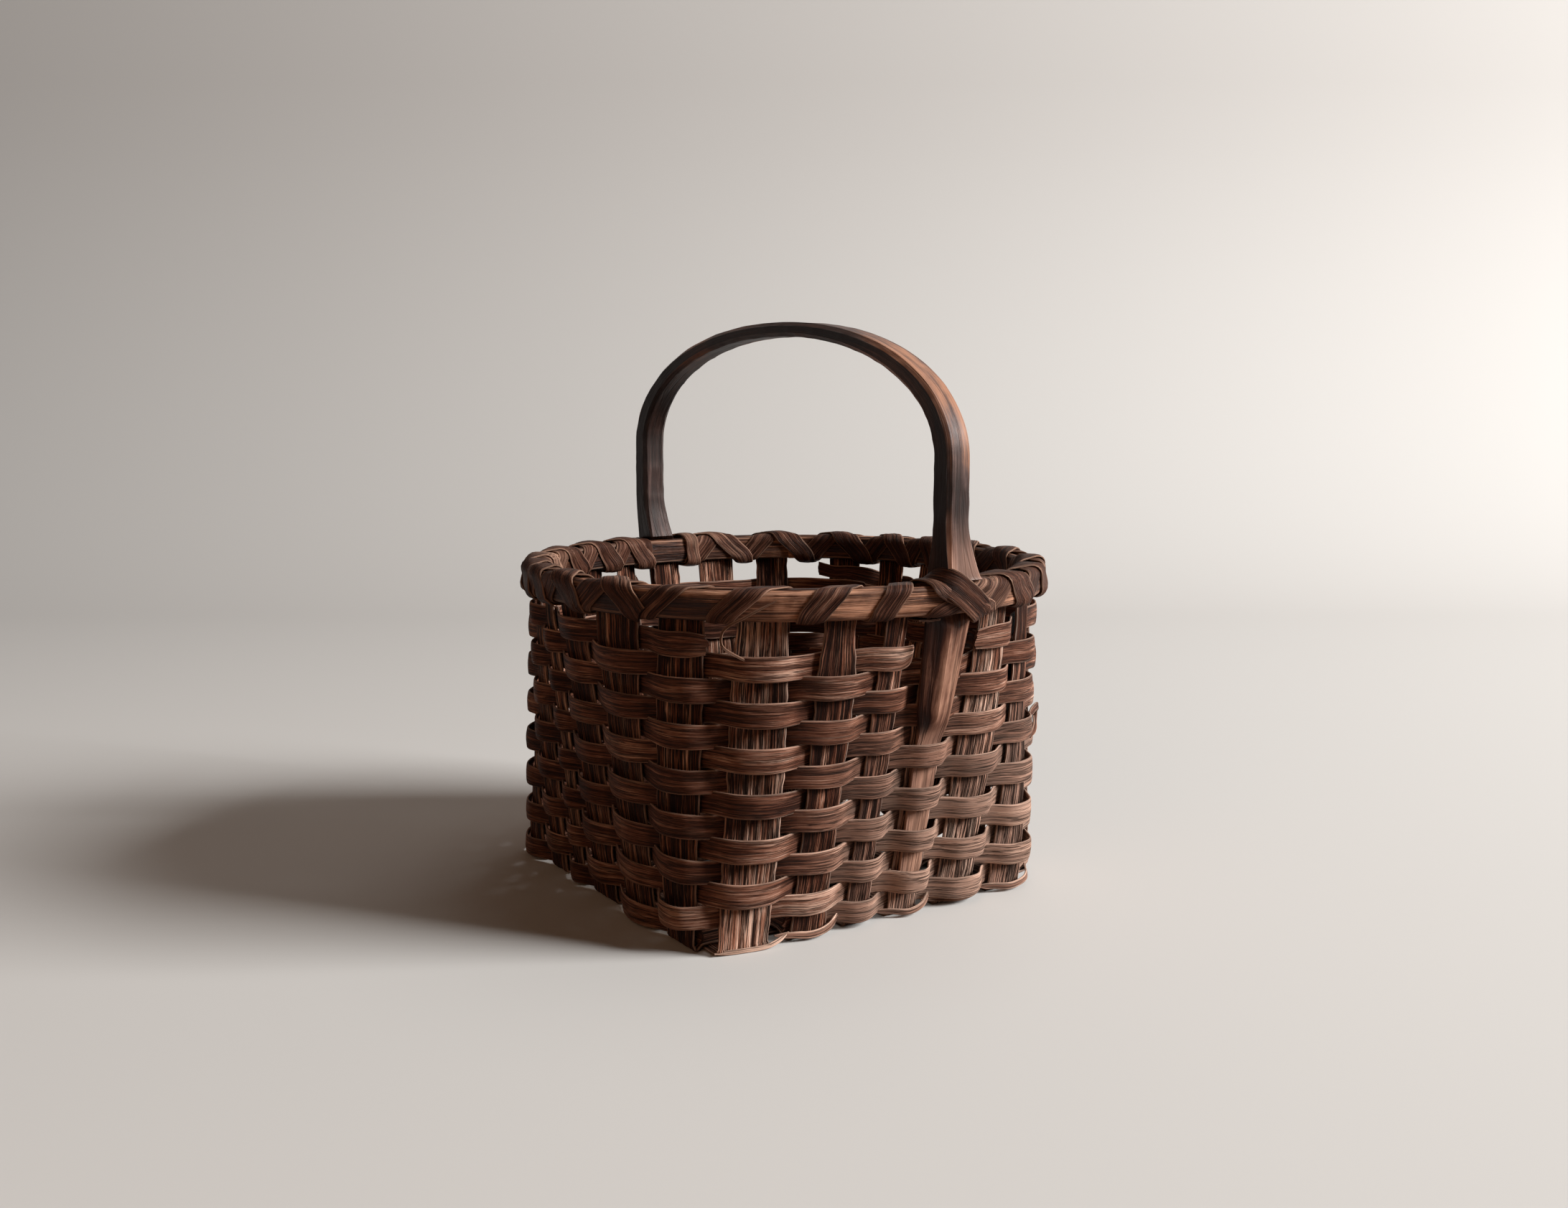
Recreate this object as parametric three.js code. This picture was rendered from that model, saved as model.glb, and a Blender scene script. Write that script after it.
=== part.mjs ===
// A small splint basket: a square woven base, walls that round off towards the rim,
// two lashed rim hoops and a fixed carved handle. Millimetres, +Z up, the handle along X.
import * as THREE from 'three';

// Body
const BASE_HALF = 66.8;
const RIM_HALF = 82.2;
const BASE_CORNER = 8;
const RIM_CORNER = 78;
const WALL_HOLLOW = 0.8;
const RIM_TOP = 109.6;
const LEAN_X = 6.1;
const LEAN_Y = 0.7;
const TWIST = 6.6;
const TWIST_SHARPNESS = 3;

// Upright splints, six each way, named from the front corner outwards
const LONG_WIDTHS = [17.5, 13, 9, 12.4, 15.6, 14];
const CROSS_WIDTHS = [16.3, 20, 17, 7.5, 12, 13.5];
const LONG_FIRST_INSET = 3.4;
const LONG_LAST_INSET = 11;
const CROSS_FIRST_INSET = 7.5;
const CROSS_LAST_INSET = 7;
const UPRIGHT_THICK = 1.2;
const UPRIGHT_TRIM = 0.6;
const FOLD = 1.0;
const WALL_STEP_COUNT = 12;
const WALL_STEP_GROWTH = 1.4;

// Weaver splints
const ROW_COUNT = 14;
const WEAVER_THICK = 0.9;
const WEAVER_TALL = 6.3;
const ROW_SPACE = 0.5;
const FIRST_ROW_LIFT = 0.6;
const RISE_LOW = 2.6;
const RISE_MIDDLE = 4.6;
const RISE_HIGH = 3.1;
const RISE_MIDDLE_INDEX = 9;
const RISE_SHARPNESS = 4;
const TOP_ROW_SLIDE = 1.7;
const TORN_RISE = 3.3;
const LAP_LEAD = 0.07;
const LAP_REACH = 0.28;
const LAP_STRIDE_COUNT = 7;

// Rim hoops
const HOOP_TALL = 9;
const OUTER_HOOP_THICK = 3.1;
const INNER_HOOP_THICK = 3;
const HOOP_CHAMFER = 0.8;
const SWELL_SHARES = [1, 0.62, 0.3, 0.1];
const SCARF_EDGE_COUNT = 4;
const SCARF_TIP = 0.6;
const SCARF_GAP = 0.06;
const INNER_SCARF_INDEX = 20;
const OUTER_SCARF_INDEX = 41;

// Lashing splints
const LASHING_WIDTH = 5.3;
const LASHING_SLANT_WIDTH = 7.6;
const LASHING_SLIP = 0.06;
const LASHING_THICK = 0.8;
const LASHING_BEND = 1.2;
const LASHING_CLEAR = 0.44;
const LEG_SLACK = 0.1;
const SECOND_PASS_LOOP_COUNT = 20;
const LEAST_LASHING_GAP = 0.4;

// Handle
const LEG_STAND_OUT = 3.5;
const BOW_SHIFT = 3.4;
const SPRING_HEIGHT = 145.6;
const CROWN_HEIGHT = 186.6;
const ARCH_POWER = 2.1;
const ARCH_STEP_COUNT = 27;
const HANDLE_WIDTH = 9.1;
const LEG_THICK = 8.2;
const CROWN_THICK = 4.8;
const THINNING_SHARPNESS = 1.25;
const HANDLE_CHAMFER = 1.3;
const NOTCH_THICK = 2.6;
const SHOULDER_LENGTH = 18;
const SHOULDER_STEP_COUNT = 4;
const SHOULDER_REACH_IN = [4, 2.6];
const SHOULDER_SPREAD = [1.7, 0.3];
const SHOULDER_RETURN = [1, 0.5];
const SHOULDER_SHARPNESS = 1.6;
const TAIL_WIDTH_HIGH = 11.2;
const TAIL_WIDTH_LOW = 8.6;
const TAIL_TIP_WIDTH = 4.5;
const TAIL_TIP_LENGTH = 4;
const TAIL_THICK_HIGH = 1.6;
const TAIL_THICK_LOW = 1.1;
const TAIL_CHAMFER = 0.3;
const LAST_FREE_ROW_INDEX = 9;

// Clearance between pieces that touch
const CLEAR = 0.32;

const UPRIGHTS = 2 * (LONG_WIDTHS.length + CROSS_WIDTHS.length);
const EDGES = 2 * UPRIGHTS;
const HANDLE_STRIP_INDEX = 3;
const ROW_PITCH = WEAVER_TALL + ROW_SPACE;
const RIM_LOW = RIM_TOP - HOOP_TALL;
const BOW_HALF = RIM_HALF + LEG_STAND_OUT;
const WEAVER_OUT = (UPRIGHT_THICK + WEAVER_THICK) / 2 + CLEAR;
const FACE_OUT = UPRIGHT_THICK / 2 + CLEAR;
const FREE_TAIL_OUT = WEAVER_OUT + WEAVER_THICK / 2 + CLEAR;
const LEVEL_STEP = UPRIGHT_THICK + CLEAR;
const FOLD_TOP = UPRIGHT_THICK / 2 + FOLD;
const LEVELS = Array.from({ length: WALL_STEP_COUNT + 1 }, (_, i) => {
  const share = (i / WALL_STEP_COUNT) ** WALL_STEP_GROWTH;
  return FOLD_TOP + (RIM_LOW - FOLD_TOP) * share;
}).concat(RIM_TOP);

// The wall: a rounded square at every height, with a distance along it from the middle of the +X side
function wallAt(z) {
  const t = z / RIM_TOP;
  const half = BASE_HALF + (RIM_HALF - BASE_HALF) * t - 4 * WALL_HOLLOW * t * (1 - t);
  const corner = BASE_CORNER + (RIM_CORNER - BASE_CORNER) * t;
  const flat = half - corner;
  const quarter = 2 * flat + (Math.PI * corner) / 2;
  return { half, corner, flat, quarter, around: 4 * quarter, x: LEAN_X * t, y: LEAN_Y * t };
}

const BASE_AROUND = wallAt(0).around;

// The point at a distance along the wall, moved out from it
function wallPoint(along, z, out) {
  const wall = wallAt(z);
  const s = THREE.MathUtils.euclideanModulo(along + wall.flat, wall.around);
  const side = Math.floor(s / wall.quarter);
  const run = s - side * wall.quarter;
  const turn = Math.max(0, run - 2 * wall.flat) / wall.corner;
  const normal = new THREE.Vector3(Math.cos(turn), Math.sin(turn), 0);
  const point = new THREE.Vector3(wall.flat, Math.min(run, 2 * wall.flat) - wall.flat, 0);
  point.addScaledVector(normal, wall.corner + out);
  const up = new THREE.Vector3(0, 0, 1);
  point.applyAxisAngle(up, (side * Math.PI) / 2);
  return point.add(new THREE.Vector3(wall.x, wall.y, z));
}

// Where each strip of one direction crosses the base: its middle and its width.
// Between the insets at the two ends, the gaps between the strips are all alike.
function layOut(widths, firstInset, lastInset, direction) {
  const covered = widths.reduce((sum, width) => sum + width, firstInset + lastInset);
  const gap = (2 * BASE_HALF - covered) / (widths.length - 1);
  let edge = direction * (firstInset - BASE_HALF);
  return widths.map((width) => {
    const middle = edge + (direction * width) / 2;
    edge += direction * (width + gap);
    return { middle, width };
  });
}

const longStrips = layOut(LONG_WIDTHS, LONG_FIRST_INSET, LONG_LAST_INSET, 1);
const crossStrips = layOut(CROSS_WIDTHS, CROSS_FIRST_INSET, CROSS_LAST_INSET, -1);

// Each strip climbs two opposite walls. An upright has the side it stands on and the sign of travel there.
const uprights = [
  ...longStrips.map((strip) => ({ ...strip, side: 0, sign: 1 })),
  ...crossStrips.map((strip) => ({ ...strip, side: 1, sign: -1 })),
  ...[...longStrips].reverse().map((strip) => ({ ...strip, side: 2, sign: -1 })),
  ...[...crossStrips].reverse().map((strip) => ({ ...strip, side: 3, sign: 1 })),
];

// Uprights are numbered from 0 and their two edges with them. A place round the basket counts in edges.
const firstEdge = (index) => 2 * index;
const uprightMiddle = (index) => firstEdge(index) + 1 / 2;
const gapMiddle = (index) => firstEdge(index) + 3 / 2;
const uprightAt = (edge) => Math.floor(edge / 2) % UPRIGHTS;

// How far round the basket an upright stands, in sides counted from the middle of the +X side
function turnOf(upright) {
  return upright.side + (4 * upright.sign * upright.middle) / BASE_AROUND;
}

// The uprights of the -X side lean along the wall as they rise
function edgeAlong(edge, z) {
  const upright = uprights[uprightAt(edge)];
  const wall = wallAt(z);
  const share = (1 + Math.cos((turnOf(upright) - 2) * (Math.PI / 2))) / 2;
  const leaning = (TWIST * share ** TWIST_SHARPNESS * z) / RIM_TOP;
  const middle = upright.side * wall.quarter + (upright.sign * upright.middle * wall.around) / BASE_AROUND;
  return middle + leaning + (edge % 2 === 0 ? -0.5 : 0.5) * upright.width;
}

// An edge of an upright runs straight between levels, so what is woven round it keeps its clearance
function edgePoint(edge, z, out) {
  const turned = THREE.MathUtils.euclideanModulo(edge, EDGES);
  const level = LEVELS.findLastIndex((height, i) => height <= z && i < LEVELS.length - 1);
  const low = LEVELS[Math.max(0, level)];
  const high = LEVELS[Math.max(0, level) + 1];
  const below = wallPoint(edgeAlong(turned, low), low, out);
  const above = wallPoint(edgeAlong(turned, high), high, out);
  return below.lerp(above, (z - low) / (high - low));
}

// A place round the basket, moved out from the middle of the uprights
function weavePoint(place, z, outAt) {
  const edge = Math.floor(place);
  const near = edgePoint(edge, z, outAt(edge));
  return place === edge ? near : near.lerp(edgePoint(edge + 1, z, outAt(edge + 1)), place - edge);
}

// A solid through rings of equal count, with flat ends
function solidThroughRings(rings) {
  const size = rings[0].length;
  const positions = rings.flat().flatMap((p) => [p.x, p.y, p.z]);
  const faces = [];
  const end = (rings.length - 1) * size;
  for (let a = 0; a < end; a += size) {
    const b = a + size;
    for (let j = 0; j < size; j += 1) {
      const k = (j + 1) % size;
      faces.push(a + j, b + j, b + k, a + j, b + k, a + k);
    }
  }
  for (let j = 1; j < size - 1; j += 1) {
    faces.push(0, j, j + 1, end, end + j + 1, end + j);
  }
  if (enclosedVolume(positions, faces) < 0) {
    faces.reverse();
  }
  const geometry = new THREE.BufferGeometry();
  geometry.setAttribute('position', new THREE.Float32BufferAttribute(positions, 3));
  geometry.setIndex(faces);
  geometry.computeVertexNormals();
  return geometry;
}

function enclosedVolume(positions, faces) {
  const corner = (index) => new THREE.Vector3().fromArray(positions, 3 * index);
  let total = 0;
  for (let i = 0; i < faces.length; i += 3) {
    total += corner(faces[i]).dot(corner(faces[i + 1]).cross(corner(faces[i + 2])));
  }
  return total / 6;
}

// Upright strips
const FLAT_SECTION = [[0, -1], [1, -1], [1, 1], [0, 1]];

function wallRing(index, z) {
  const half = UPRIGHT_THICK / 2;
  return FLAT_SECTION.map(([end, face]) => edgePoint(firstEdge(index) + end, z, face * half));
}

// The fold at the foot of a wall, in two sections an eighth of a turn apart
function foldRing(index, out, z, slope) {
  const reach = UPRIGHT_THICK / 2 / Math.cos(Math.PI / 8);
  return FLAT_SECTION.map(([end, face]) => {
    const along = edgeAlong(firstEdge(index) + end, FOLD_TOP);
    const point = wallPoint(along, FOLD_TOP, out + face * reach * Math.sin(slope));
    point.z = z - face * reach * Math.cos(slope);
    return point;
  });
}

function wallRings(index) {
  const top = RIM_TOP - UPRIGHT_TRIM;
  return [
    foldRing(index, -FOLD, UPRIGHT_THICK / 2, Math.PI / 8),
    foldRing(index, 0, FOLD_TOP, (3 * Math.PI) / 8),
    ...LEVELS.slice(1, -1).map((z) => wallRing(index, z)),
    wallRing(index, top),
  ];
}

// The base: each strip goes over and under the strips of the other direction
function baseRings(strip, index, others, isLong) {
  const stops = others.flatMap((other, order) => {
    const over = (index + order) % 2 === (isLong ? 1 : 0);
    const z = UPRIGHT_THICK / 2 + (over ? LEVEL_STEP : 0);
    return [-1, 1].map((end) => ({ at: other.middle + (end * other.width) / 2, z }));
  });
  stops.sort((a, b) => a.at - b.at);
  return stops.map(({ at, z }) => {
    return FLAT_SECTION.map(([end, face]) => {
      const across = strip.middle + (isLong ? end - 0.5 : 0.5 - end) * strip.width;
      const level = z - (face * UPRIGHT_THICK) / 2;
      return isLong ? new THREE.Vector3(at, across, level) : new THREE.Vector3(across, at, level);
    });
  });
}

// A whole strip: down one wall, across the base and up the wall opposite
function uprightStrip(index, isLong) {
  const strip = (isLong ? longStrips : crossStrips)[index];
  const ends = uprights.flatMap((upright, i) => (upright.middle === strip.middle ? [i] : []));
  const flip = ([a, b, c, d]) => [b, a, d, c];
  const [positive, negative] = ends.map((i) => {
    const rings = wallRings(i);
    return uprights[i].side < 2 ? rings : rings.map(flip);
  });
  const base = baseRings(strip, index, isLong ? crossStrips : longStrips, isLong);
  return solidThroughRings([...negative.reverse(), ...base, ...positive]);
}

// Weaver rows. They climb a little towards the +X +Y corner, where the work was packed higher.
// Where the top row is missing, from one leg to the other, the row beneath has slid up.
function rowMiddle(row, index) {
  const low = UPRIGHT_THICK + FIRST_ROW_LIFT + WEAVER_TALL / 2 + (row - 1) * ROW_PITCH;
  const angle = (turnOf(uprights[index]) - 1 / 2) * (Math.PI / 2);
  const peak = ((1 + Math.cos(angle)) / 2) ** RISE_SHARPNESS;
  const rise = row < RISE_MIDDLE_INDEX
    ? THREE.MathUtils.mapLinear(row, 1, RISE_MIDDLE_INDEX, RISE_LOW, RISE_MIDDLE)
    : THREE.MathUtils.mapLinear(row, RISE_MIDDLE_INDEX, ROW_COUNT, RISE_MIDDLE, RISE_HIGH);
  const slid = row === ROW_COUNT - 1 && index > handleUprights[0] && index <= handleUprights[1];
  return low + peak * rise + (slid ? TOP_ROW_SLIDE : 0);
}

function goesOutside(row, index) {
  return (row + index) % 2 === 1;
}

// The highest row that covers the tail of a handle leg
function lastCoveredRow(index) {
  return goesOutside(LAST_FREE_ROW_INDEX - 1, index) ? LAST_FREE_ROW_INDEX - 1 : LAST_FREE_ROW_INDEX - 2;
}

const handleUprights = [HANDLE_STRIP_INDEX, 2 * LONG_WIDTHS.length + CROSS_WIDTHS.length - 1 - HANDLE_STRIP_INDEX];

function weaverOut(row, index) {
  if (!goesOutside(row, index)) {
    return -WEAVER_OUT;
  }
  const overTail = handleUprights.includes(index) && row <= lastCoveredRow(index);
  return overTail ? FACE_OUT + TAIL_THICK_LOW + CLEAR + WEAVER_THICK / 2 : WEAVER_OUT;
}

function weaverRing(place, middle, out) {
  const corners = [[-1, -1], [-1, 1], [1, 1], [1, -1]];
  return corners.map(([rise, face]) => {
    const z = middle + (rise * WEAVER_TALL) / 2;
    return weavePoint(place, z, () => out + (face * WEAVER_THICK) / 2);
  });
}

// One weaver from the upright where it starts, round the basket. A whole one laps its end inside
// its start, and the last two crossings of a torn one may have risen.
function weaverRow(row, { start, crossings, laps = false, rise = 0 }) {
  const rings = [];
  for (let k = 0; k < crossings; k += 1) {
    const index = (start + k) % UPRIGHTS;
    const middle = rowMiddle(row, index) + rise * Math.max(0, k + 3 - crossings);
    const lapped = laps && k === crossings - 1;
    const out = weaverOut(row, index) - (lapped ? WEAVER_THICK + CLEAR : 0);
    const lead = (k === 0 ? LAP_LEAD : 0) + (lapped ? LAP_REACH : 0);
    rings.push(weaverRing(firstEdge(index) - lead, middle, out));
    rings.push(weaverRing(firstEdge(index) + 1, middle, out));
  }
  return solidThroughRings(rings);
}

// Rim hoops. The outer one swells over each leg of the handle.
function hoopSwell(edge) {
  const turned = THREE.MathUtils.euclideanModulo(edge, EDGES);
  const steps = handleUprights.map((index) => {
    return Math.max(firstEdge(index) - turned, turned - firstEdge(index) - 1, 0);
  });
  return (NOTCH_THICK + CLEAR) * (SWELL_SHARES[Math.min(...steps)] ?? 0);
}

const outerHoop = [
  (edge) => FACE_OUT + hoopSwell(edge),
  (edge) => FACE_OUT + hoopSwell(edge) + OUTER_HOOP_THICK,
];

const innerHoop = [() => -FACE_OUT, () => -FACE_OUT - INNER_HOOP_THICK];

// A section of a hoop between two shares of its thickness, chamfered on the side away from the wall
function hoopRing(place, [near, far], from, to) {
  const thick = far(0) - near(0);
  const mix = (share, extra) => (edge) => near(edge) + thick * share + Math.sign(thick) * extra;
  const cut = Math.min(HOOP_CHAMFER, (Math.abs(thick) * (to - from)) / 2);
  const outline = [
    [mix(from, 0), RIM_LOW],
    [mix(to, -cut), RIM_LOW],
    [mix(to, 0), RIM_LOW + cut],
    [mix(to, 0), RIM_TOP - cut],
    [mix(to, -cut), RIM_TOP],
    [mix(from, 0), RIM_TOP],
  ];
  if (thick < 0) {
    outline.reverse();
  }
  return outline.map(([outAt, z]) => weavePoint(place, z, outAt));
}

// A hoop whose two ends are scarfed: thin wedges that lie one on the other over some edges
function rimHoop(faces, firstEdge) {
  const thick = Math.abs(faces[1](0) - faces[0](0));
  const tip = SCARF_TIP / thick;
  const gap = CLEAR / thick;
  const seam = (edges) => tip + ((1 - 2 * tip - gap) * edges) / SCARF_EDGE_COUNT;
  const rings = [];
  const add = (edges, from, to) => rings.push(hoopRing(firstEdge + edges, faces, from, to));
  for (let i = 0; i <= SCARF_EDGE_COUNT; i += 1) {
    add(i, 0, seam(i));
  }
  add(SCARF_EDGE_COUNT + SCARF_GAP, 0, seam(SCARF_EDGE_COUNT));
  add(SCARF_EDGE_COUNT + 1 / 2, 0, 1);
  for (let i = SCARF_EDGE_COUNT + 1; i < EDGES; i += 1) {
    add(i, 0, 1);
  }
  add(EDGES - 1 / 2, 0, 1);
  add(EDGES - SCARF_GAP, seam(0) + gap, 1);
  for (let i = 0; i <= SCARF_EDGE_COUNT; i += 1) {
    add(EDGES + i, seam(i) + gap, 1);
  }
  return solidThroughRings(rings);
}

// Lashing: one splint wound round both hoops, through the gap after each upright.
// A loop is a list of places round the basket, with the distance out, height, facing and width there.
function lashingLoop(from, top, to, standoff) {
  const reach = standoff + LASHING_CLEAR + LASHING_THICK / 2;
  const bend = LASHING_BEND;
  const outer = (inset) => (edge) => outerHoop[1](edge) + reach - inset;
  const inner = (inset) => (edge) => innerHoop[1](edge) - reach + inset;
  const low = RIM_LOW - reach;
  const high = RIM_TOP + reach;
  const eighth = Math.PI / 8;
  const mix = THREE.MathUtils.lerp;
  const stop = (place, outAt, z, facing, width) => ({ place, outAt, z, facing, width });
  return [
    stop(from, outer(bend), low, -3 * eighth, LASHING_WIDTH),
    stop(mix(from, top, LASHING_SLIP), outer(0), low + bend, -eighth, LASHING_SLANT_WIDTH),
    stop(mix(top, from, LASHING_SLIP), outer(0), high - bend, eighth, LASHING_SLANT_WIDTH),
    stop(top, outer(bend), high, 3 * eighth, LASHING_WIDTH),
    stop(top, inner(bend), high, 5 * eighth, LASHING_WIDTH),
    stop(mix(top, to, LASHING_SLIP), inner(0), high - bend, 7 * eighth, LASHING_SLANT_WIDTH),
    stop(mix(to, top, LASHING_SLIP), inner(0), low + bend, 9 * eighth, LASHING_SLANT_WIDTH),
    stop(to, inner(bend), low, 11 * eighth, LASHING_WIDTH),
  ];
}

// A slanting stretch also turns at each edge of an upright that it passes, more loosely at a leg
function withTurns(stops, layer) {
  return stops.flatMap((stop, i) => {
    const next = stops[i + 1];
    if (!next || Math.abs(next.place - stop.place) < 1 / 4) {
      return [stop];
    }
    const low = Math.min(stop.place, next.place);
    const high = Math.max(stop.place, next.place);
    const turns = [];
    for (let edge = Math.ceil(low); edge < high; edge += 1) {
      const share = (edge - stop.place) / (next.place - stop.place);
      const z = THREE.MathUtils.lerp(stop.z, next.z, share);
      const facing = (stop.facing + next.facing) / 2;
      const atLeg = handleUprights.includes(uprightAt(edge));
      const slack = atLeg ? layer * LEG_SLACK : 0;
      const outAt = (at) => stop.outAt(at) + slack;
      turns.push({ place: edge, outAt, z, facing, width: stop.width, share });
    }
    turns.sort((a, b) => a.share - b.share);
    return [stop, ...turns];
  });
}

// Over an upright the loop crosses the rim at its middle, and over a leg of the handle beside it
function lashingStops(firstGap, loops, direction, layer) {
  const stops = [];
  for (let k = 0; k < loops; k += 1) {
    const gap = firstGap + direction * k;
    const crossed = direction > 0 ? gap + 1 : gap;
    const from = gapMiddle(gap);
    const to = gapMiddle(gap + direction);
    const atLeg = handleUprights.includes(crossed % UPRIGHTS);
    const top = atLeg ? to : uprightMiddle(crossed);
    stops.push(...lashingLoop(from, top, to, (layer - 1) * (LASHING_THICK + LASHING_CLEAR)));
  }
  return withTurns(stops, layer);
}

// The point some millimetres along the weave from a place
function besideWeave(place, shift, z, outAt) {
  const edge = shift > 0 ? Math.floor(place) : Math.ceil(place) - 1;
  const span = edgePoint(edge, z, outAt(edge)).distanceTo(edgePoint(edge + 1, z, outAt(edge + 1)));
  return weavePoint(place + shift / span, z, outAt);
}

// On the hollow side of a bend a flat section stands on its two borders, elsewhere on its middle
function lashingRings(stops) {
  return stops.map(({ place, outAt, z, facing, width }) => {
    const [left, right] = [-1, 1].map((side) => besideWeave(place, (side * width) / 2, z, outAt));
    const across = right.clone().sub(left).normalize();
    const outward = new THREE.Vector3(across.y, -across.x, 0);
    const bend = weavePoint(place, z, outAt);
    const chord = left.add(right).divideScalar(2);
    const hollow = chord.clone().sub(bend).dot(outward) * outAt(0) > 0;
    const point = hollow ? chord : bend;
    const face = outward.multiplyScalar(Math.cos(facing));
    face.z = Math.sin(facing);
    const thick = LASHING_THICK / 2 / Math.cos(Math.PI / 8);
    return [[-1, -1], [1, -1], [1, 1], [-1, 1]].map(([side, lift]) => point
      .clone()
      .addScaledVector(across, (side * width) / 2)
      .addScaledVector(face, lift * thick));
  });
}

// The least gap of a winding to itself, on points of its surface, past one loop's length along it
function leastSelfGap(rings, stepsPerLoop) {
  const points = [];
  for (let i = 0; i < rings.length - 1; i += 1) {
    for (let part = 0; part < 4; part += 1) {
      const [a, b, c, d] = rings[i].map((p, j) => p.clone().lerp(rings[i + 1][j], part / 4));
      for (let share = 0; share <= 4; share += 1) {
        points.push({ at: i + part / 4, p: a.clone().lerp(b, share / 4) });
        points.push({ at: i + part / 4, p: d.clone().lerp(c, share / 4) });
      }
    }
  }
  let least = Infinity;
  for (let i = 0; i < points.length; i += 1) {
    for (let j = i + 1; j < points.length; j += 1) {
      if (points[j].at - points[i].at > stepsPerLoop / 2) {
        least = Math.min(least, points[i].p.distanceToSquared(points[j].p));
      }
    }
  }
  return Math.sqrt(least);
}

function lashing(name, firstGap, loops, direction, layer) {
  const stops = lashingStops(firstGap, loops, direction, layer);
  const rings = lashingRings(stops);
  const gap = leastSelfGap(rings, stops.length / loops);
  const verdict = gap > LEAST_LASHING_GAP ? 'clear' : 'too close';
  console.log(`${name}: least gap to itself ${gap.toFixed(2)} mm, ${verdict}`);
  return solidThroughRings(rings);
}

// Handle
function legPoint(side, z) {
  return weavePoint(uprightMiddle(handleUprights[side]), z, () => 0);
}

// A section of the handle: its middle, the direction its back faces, its width, thickness and chamfer
function handleRing({ middle, back, width, thick, chamfer }) {
  const w = width / 2;
  const t = thick / 2;
  const cut = Math.min(chamfer, t * 0.75, w * 0.75);
  const corners = [
    [-w, -t + cut], [-w + cut, -t], [w - cut, -t], [w, -t + cut],
    [w, t - cut], [w - cut, t], [-w + cut, t], [-w, t - cut],
  ];
  const across = new THREE.Vector3(0, 1, 0);
  return corners.map(([a, b]) => middle.clone().addScaledVector(across, a).addScaledVector(back, b));
}

function legStop(side, z, near, far, width, chamfer) {
  const outward = new THREE.Vector3(side === 0 ? 1 : -1, 0, 0);
  const middle = legPoint(side, z).addScaledVector(outward, (near + far) / 2);
  return { middle, back: outward, width, thick: far - near, chamfer };
}

function tailWidth(z, tip) {
  return THREE.MathUtils.mapLinear(z, tip, RIM_LOW, TAIL_WIDTH_LOW, TAIL_WIDTH_HIGH);
}

// One leg from the rounded tip of its tail to the spring of the arch
function legStops(side) {
  const index = handleUprights[side];
  const at = (row) => rowMiddle(row, index);
  const covered = lastCoveredRow(index);
  const low = covered % 2 === 0 ? 2 : 1;
  const tip = at(low) - WEAVER_TALL / 4;
  const shoulder = tip + TAIL_TIP_LENGTH;
  const dive = at(covered) + WEAVER_TALL / 2 + CLEAR;
  const clearOfRows = at(covered + 2) - WEAVER_TALL / 2 - CLEAR;
  const topRow = at(ROW_COUNT) + WEAVER_TALL / 2 + CLEAR;
  const near = FACE_OUT;
  const thin = near + TAIL_THICK_LOW;
  const free = FREE_TAIL_OUT;
  const notch = near + NOTCH_THICK;
  const wide = (z) => tailWidth(z, tip);
  return [
    legStop(side, tip, near, thin, TAIL_TIP_WIDTH, TAIL_CHAMFER),
    legStop(side, shoulder, near, thin, wide(shoulder), TAIL_CHAMFER),
    legStop(side, (shoulder + dive) / 2, near, thin, wide((shoulder + dive) / 2), TAIL_CHAMFER),
    legStop(side, dive, near, thin, wide(dive), TAIL_CHAMFER),
    legStop(side, clearOfRows, free, free + TAIL_THICK_HIGH, wide(clearOfRows), TAIL_CHAMFER),
    legStop(side, (clearOfRows + topRow) / 2, free, free + TAIL_THICK_HIGH, wide(topRow), TAIL_CHAMFER),
    legStop(side, topRow, free, free + TAIL_THICK_HIGH, TAIL_WIDTH_HIGH, TAIL_CHAMFER),
    legStop(side, RIM_LOW, near, notch, TAIL_WIDTH_HIGH, TAIL_CHAMFER),
    legStop(side, RIM_TOP, near, notch, TAIL_WIDTH_HIGH, TAIL_CHAMFER),
    ...shoulderStops(side),
  ];
}

// The middle of the bow over a distance from its centre line. Its two legs stand a little askew.
function bowPoint(reach, z) {
  const [right, left] = [0, 1].map((side) => legPoint(side, RIM_TOP).y - BOW_SHIFT);
  const y = THREE.MathUtils.mapLinear(reach, -BOW_HALF, BOW_HALF, left, right);
  return new THREE.Vector3(LEAN_X + reach, y, z);
}

// Above its notch a leg has a shoulder on both hoops, which spreads inwards and along the rim.
// The +X leg also bends back there to stand over its upright.
function shoulderStops(side) {
  const outward = new THREE.Vector3(side === 0 ? 1 : -1, 0, 0);
  const stops = [];
  for (let i = 0; i <= SHOULDER_STEP_COUNT; i += 1) {
    const share = i / SHOULDER_STEP_COUNT;
    const spread = (1 - share) ** SHOULDER_SHARPNESS;
    const inwards = SHOULDER_REACH_IN[side] * spread;
    const middle = bowPoint(outward.x * BOW_HALF, RIM_TOP + 2 * CLEAR + SHOULDER_LENGTH * share);
    middle.y += BOW_SHIFT * SHOULDER_RETURN[side] * spread;
    middle.addScaledVector(outward, -inwards / 2);
    stops.push({
      middle,
      back: outward,
      width: HANDLE_WIDTH + 2 * SHOULDER_SPREAD[side] * spread,
      thick: LEG_THICK + inwards,
      chamfer: THREE.MathUtils.lerp(HANDLE_CHAMFER, TAIL_CHAMFER, spread),
    });
  }
  return stops;
}

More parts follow.
